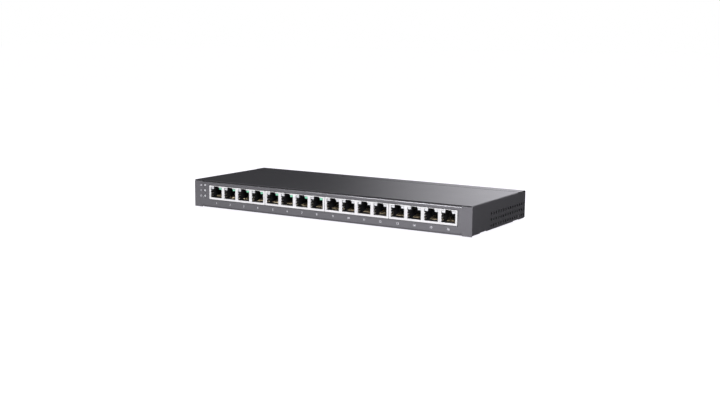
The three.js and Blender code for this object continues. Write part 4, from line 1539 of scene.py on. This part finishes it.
def aim_gleams():
    """Each gleam lights only its own pieces, so that no broad face mirrors it."""
    for name, starts in GLEAMS.items():
        receivers = bpy.data.collections.new(name + "_receivers")
        for piece in list(bpy.context.scene.objects):
            if piece.name.startswith(starts):
                receivers.objects.link(piece)
        bpy.data.objects[name].light_linking.receiver_collection = receivers


def glow(tree, name, way, inner, outer, strength):
    """A soft round patch of light on the studio's walls, full at its middle and none past outer."""
    direction = node(tree, "ShaderNodeTexCoord").outputs["Generated"]
    dot = node(tree, "ShaderNodeVectorMath", operation="DOT_PRODUCT")
    feed(tree, dot.inputs[0], direction)
    feed(tree, dot.inputs[1], way)
    start, end = math.cos(math.radians(outer)), math.cos(math.radians(inner))
    soft = node(
        tree, "ShaderNodeMapRange", interpolation_type="SMOOTHSTEP", Value=dot.outputs["Value"],
        From_Min=start, From_Max=end, To_Min=0.0, To_Max=1.0,
    )
    level = multiply(tree, soft.outputs["Result"], strength)
    shader = node(tree, "ShaderNodeBackground", Color=STUDIO_COLOUR, Strength=level)
    shader.name = name
    return shader.outputs[0]


def add_light():
    """The softboxes, and a world that is white to the camera and holds the glows for everything else."""
    world = bpy.data.worlds.new("studio")
    bpy.context.scene.world = world
    world.use_nodes = True
    tree = world.node_tree
    tree.nodes.clear()
    total = node(tree, "ShaderNodeBackground", Color=STUDIO_COLOUR, Strength=ROOM).outputs[0]
    for name, way, inner, outer, strength in GLOWS:
        both = tree.nodes.new("ShaderNodeAddShader")
        tree.links.new(total, both.inputs[0])
        tree.links.new(glow(tree, name, way, inner, outer, strength), both.inputs[1])
        total = both.outputs[0]
    backdrop = node(tree, "ShaderNodeBackground", Color=tint(1, 1, 1), Strength=1.0).outputs[0]
    seen = node(tree, "ShaderNodeLightPath").outputs["Is Camera Ray"]
    mix = tree.nodes.new("ShaderNodeMixShader")
    for socket, output in zip(mix.inputs, (seen, total, backdrop)):
        tree.links.new(output, socket)
    out = tree.nodes.new("ShaderNodeOutputWorld")
    tree.links.new(mix.outputs[0], out.inputs[0])
    for name, place, size, power in SOFTBOXES:
        softbox(name, place, size, power)
    bpy.context.scene.view_settings.view_transform = "Standard"


# ---- making ----

add_camera()
add_floor()
add_light()
top_cover()
base_chassis()
rear_panel()
for gang in GANGS:
    jack_shell(gang)
    jack_housing(gang)
    jack_contacts(gang)
    jack_lenses(gang)
    for port, x in enumerate(port_centres(gang)):
        printed_number((gang - 1) * PORTS_PER_GANG + port + 1, x)
for index in range(3):
    status_light(index)
light_symbols()
for end in ("front", "rear"):
    for hand in ("left", "right"):
        foot(f"foot_{end}_{hand}")
        add_screw(f"cover_screw_{end}_{hand}", BLACK_SCREW, out=-1)
        add_screw(f"board_screw_{end}_{hand}", ZINC)
for hand in ("left", "right"):
    add_screw(f"panel_screw_{hand}", BLACK_SCREW, out=-1)
    add_screw(f"rear_screw_{hand}", BLACK_SCREW, 1)
power_inlet()
ground_terminal()
reset_button()
gull_leads("switch_chip", 0.8, 0.34, ALL_ROUND)
for index in (1, 2):
    gull_leads(f"port_power_chip_{index}", 0.5, 0.22, ALL_ROUND)
    capacitor(f"capacitor_{index}")
for gang in GANGS:
    gull_leads(f"magnetics_{gang}", 1.27, 0.5, FRONT_AND_REAR)
inductor()
soldered_parts()
finish_inner_nodes()
aim_gleams()
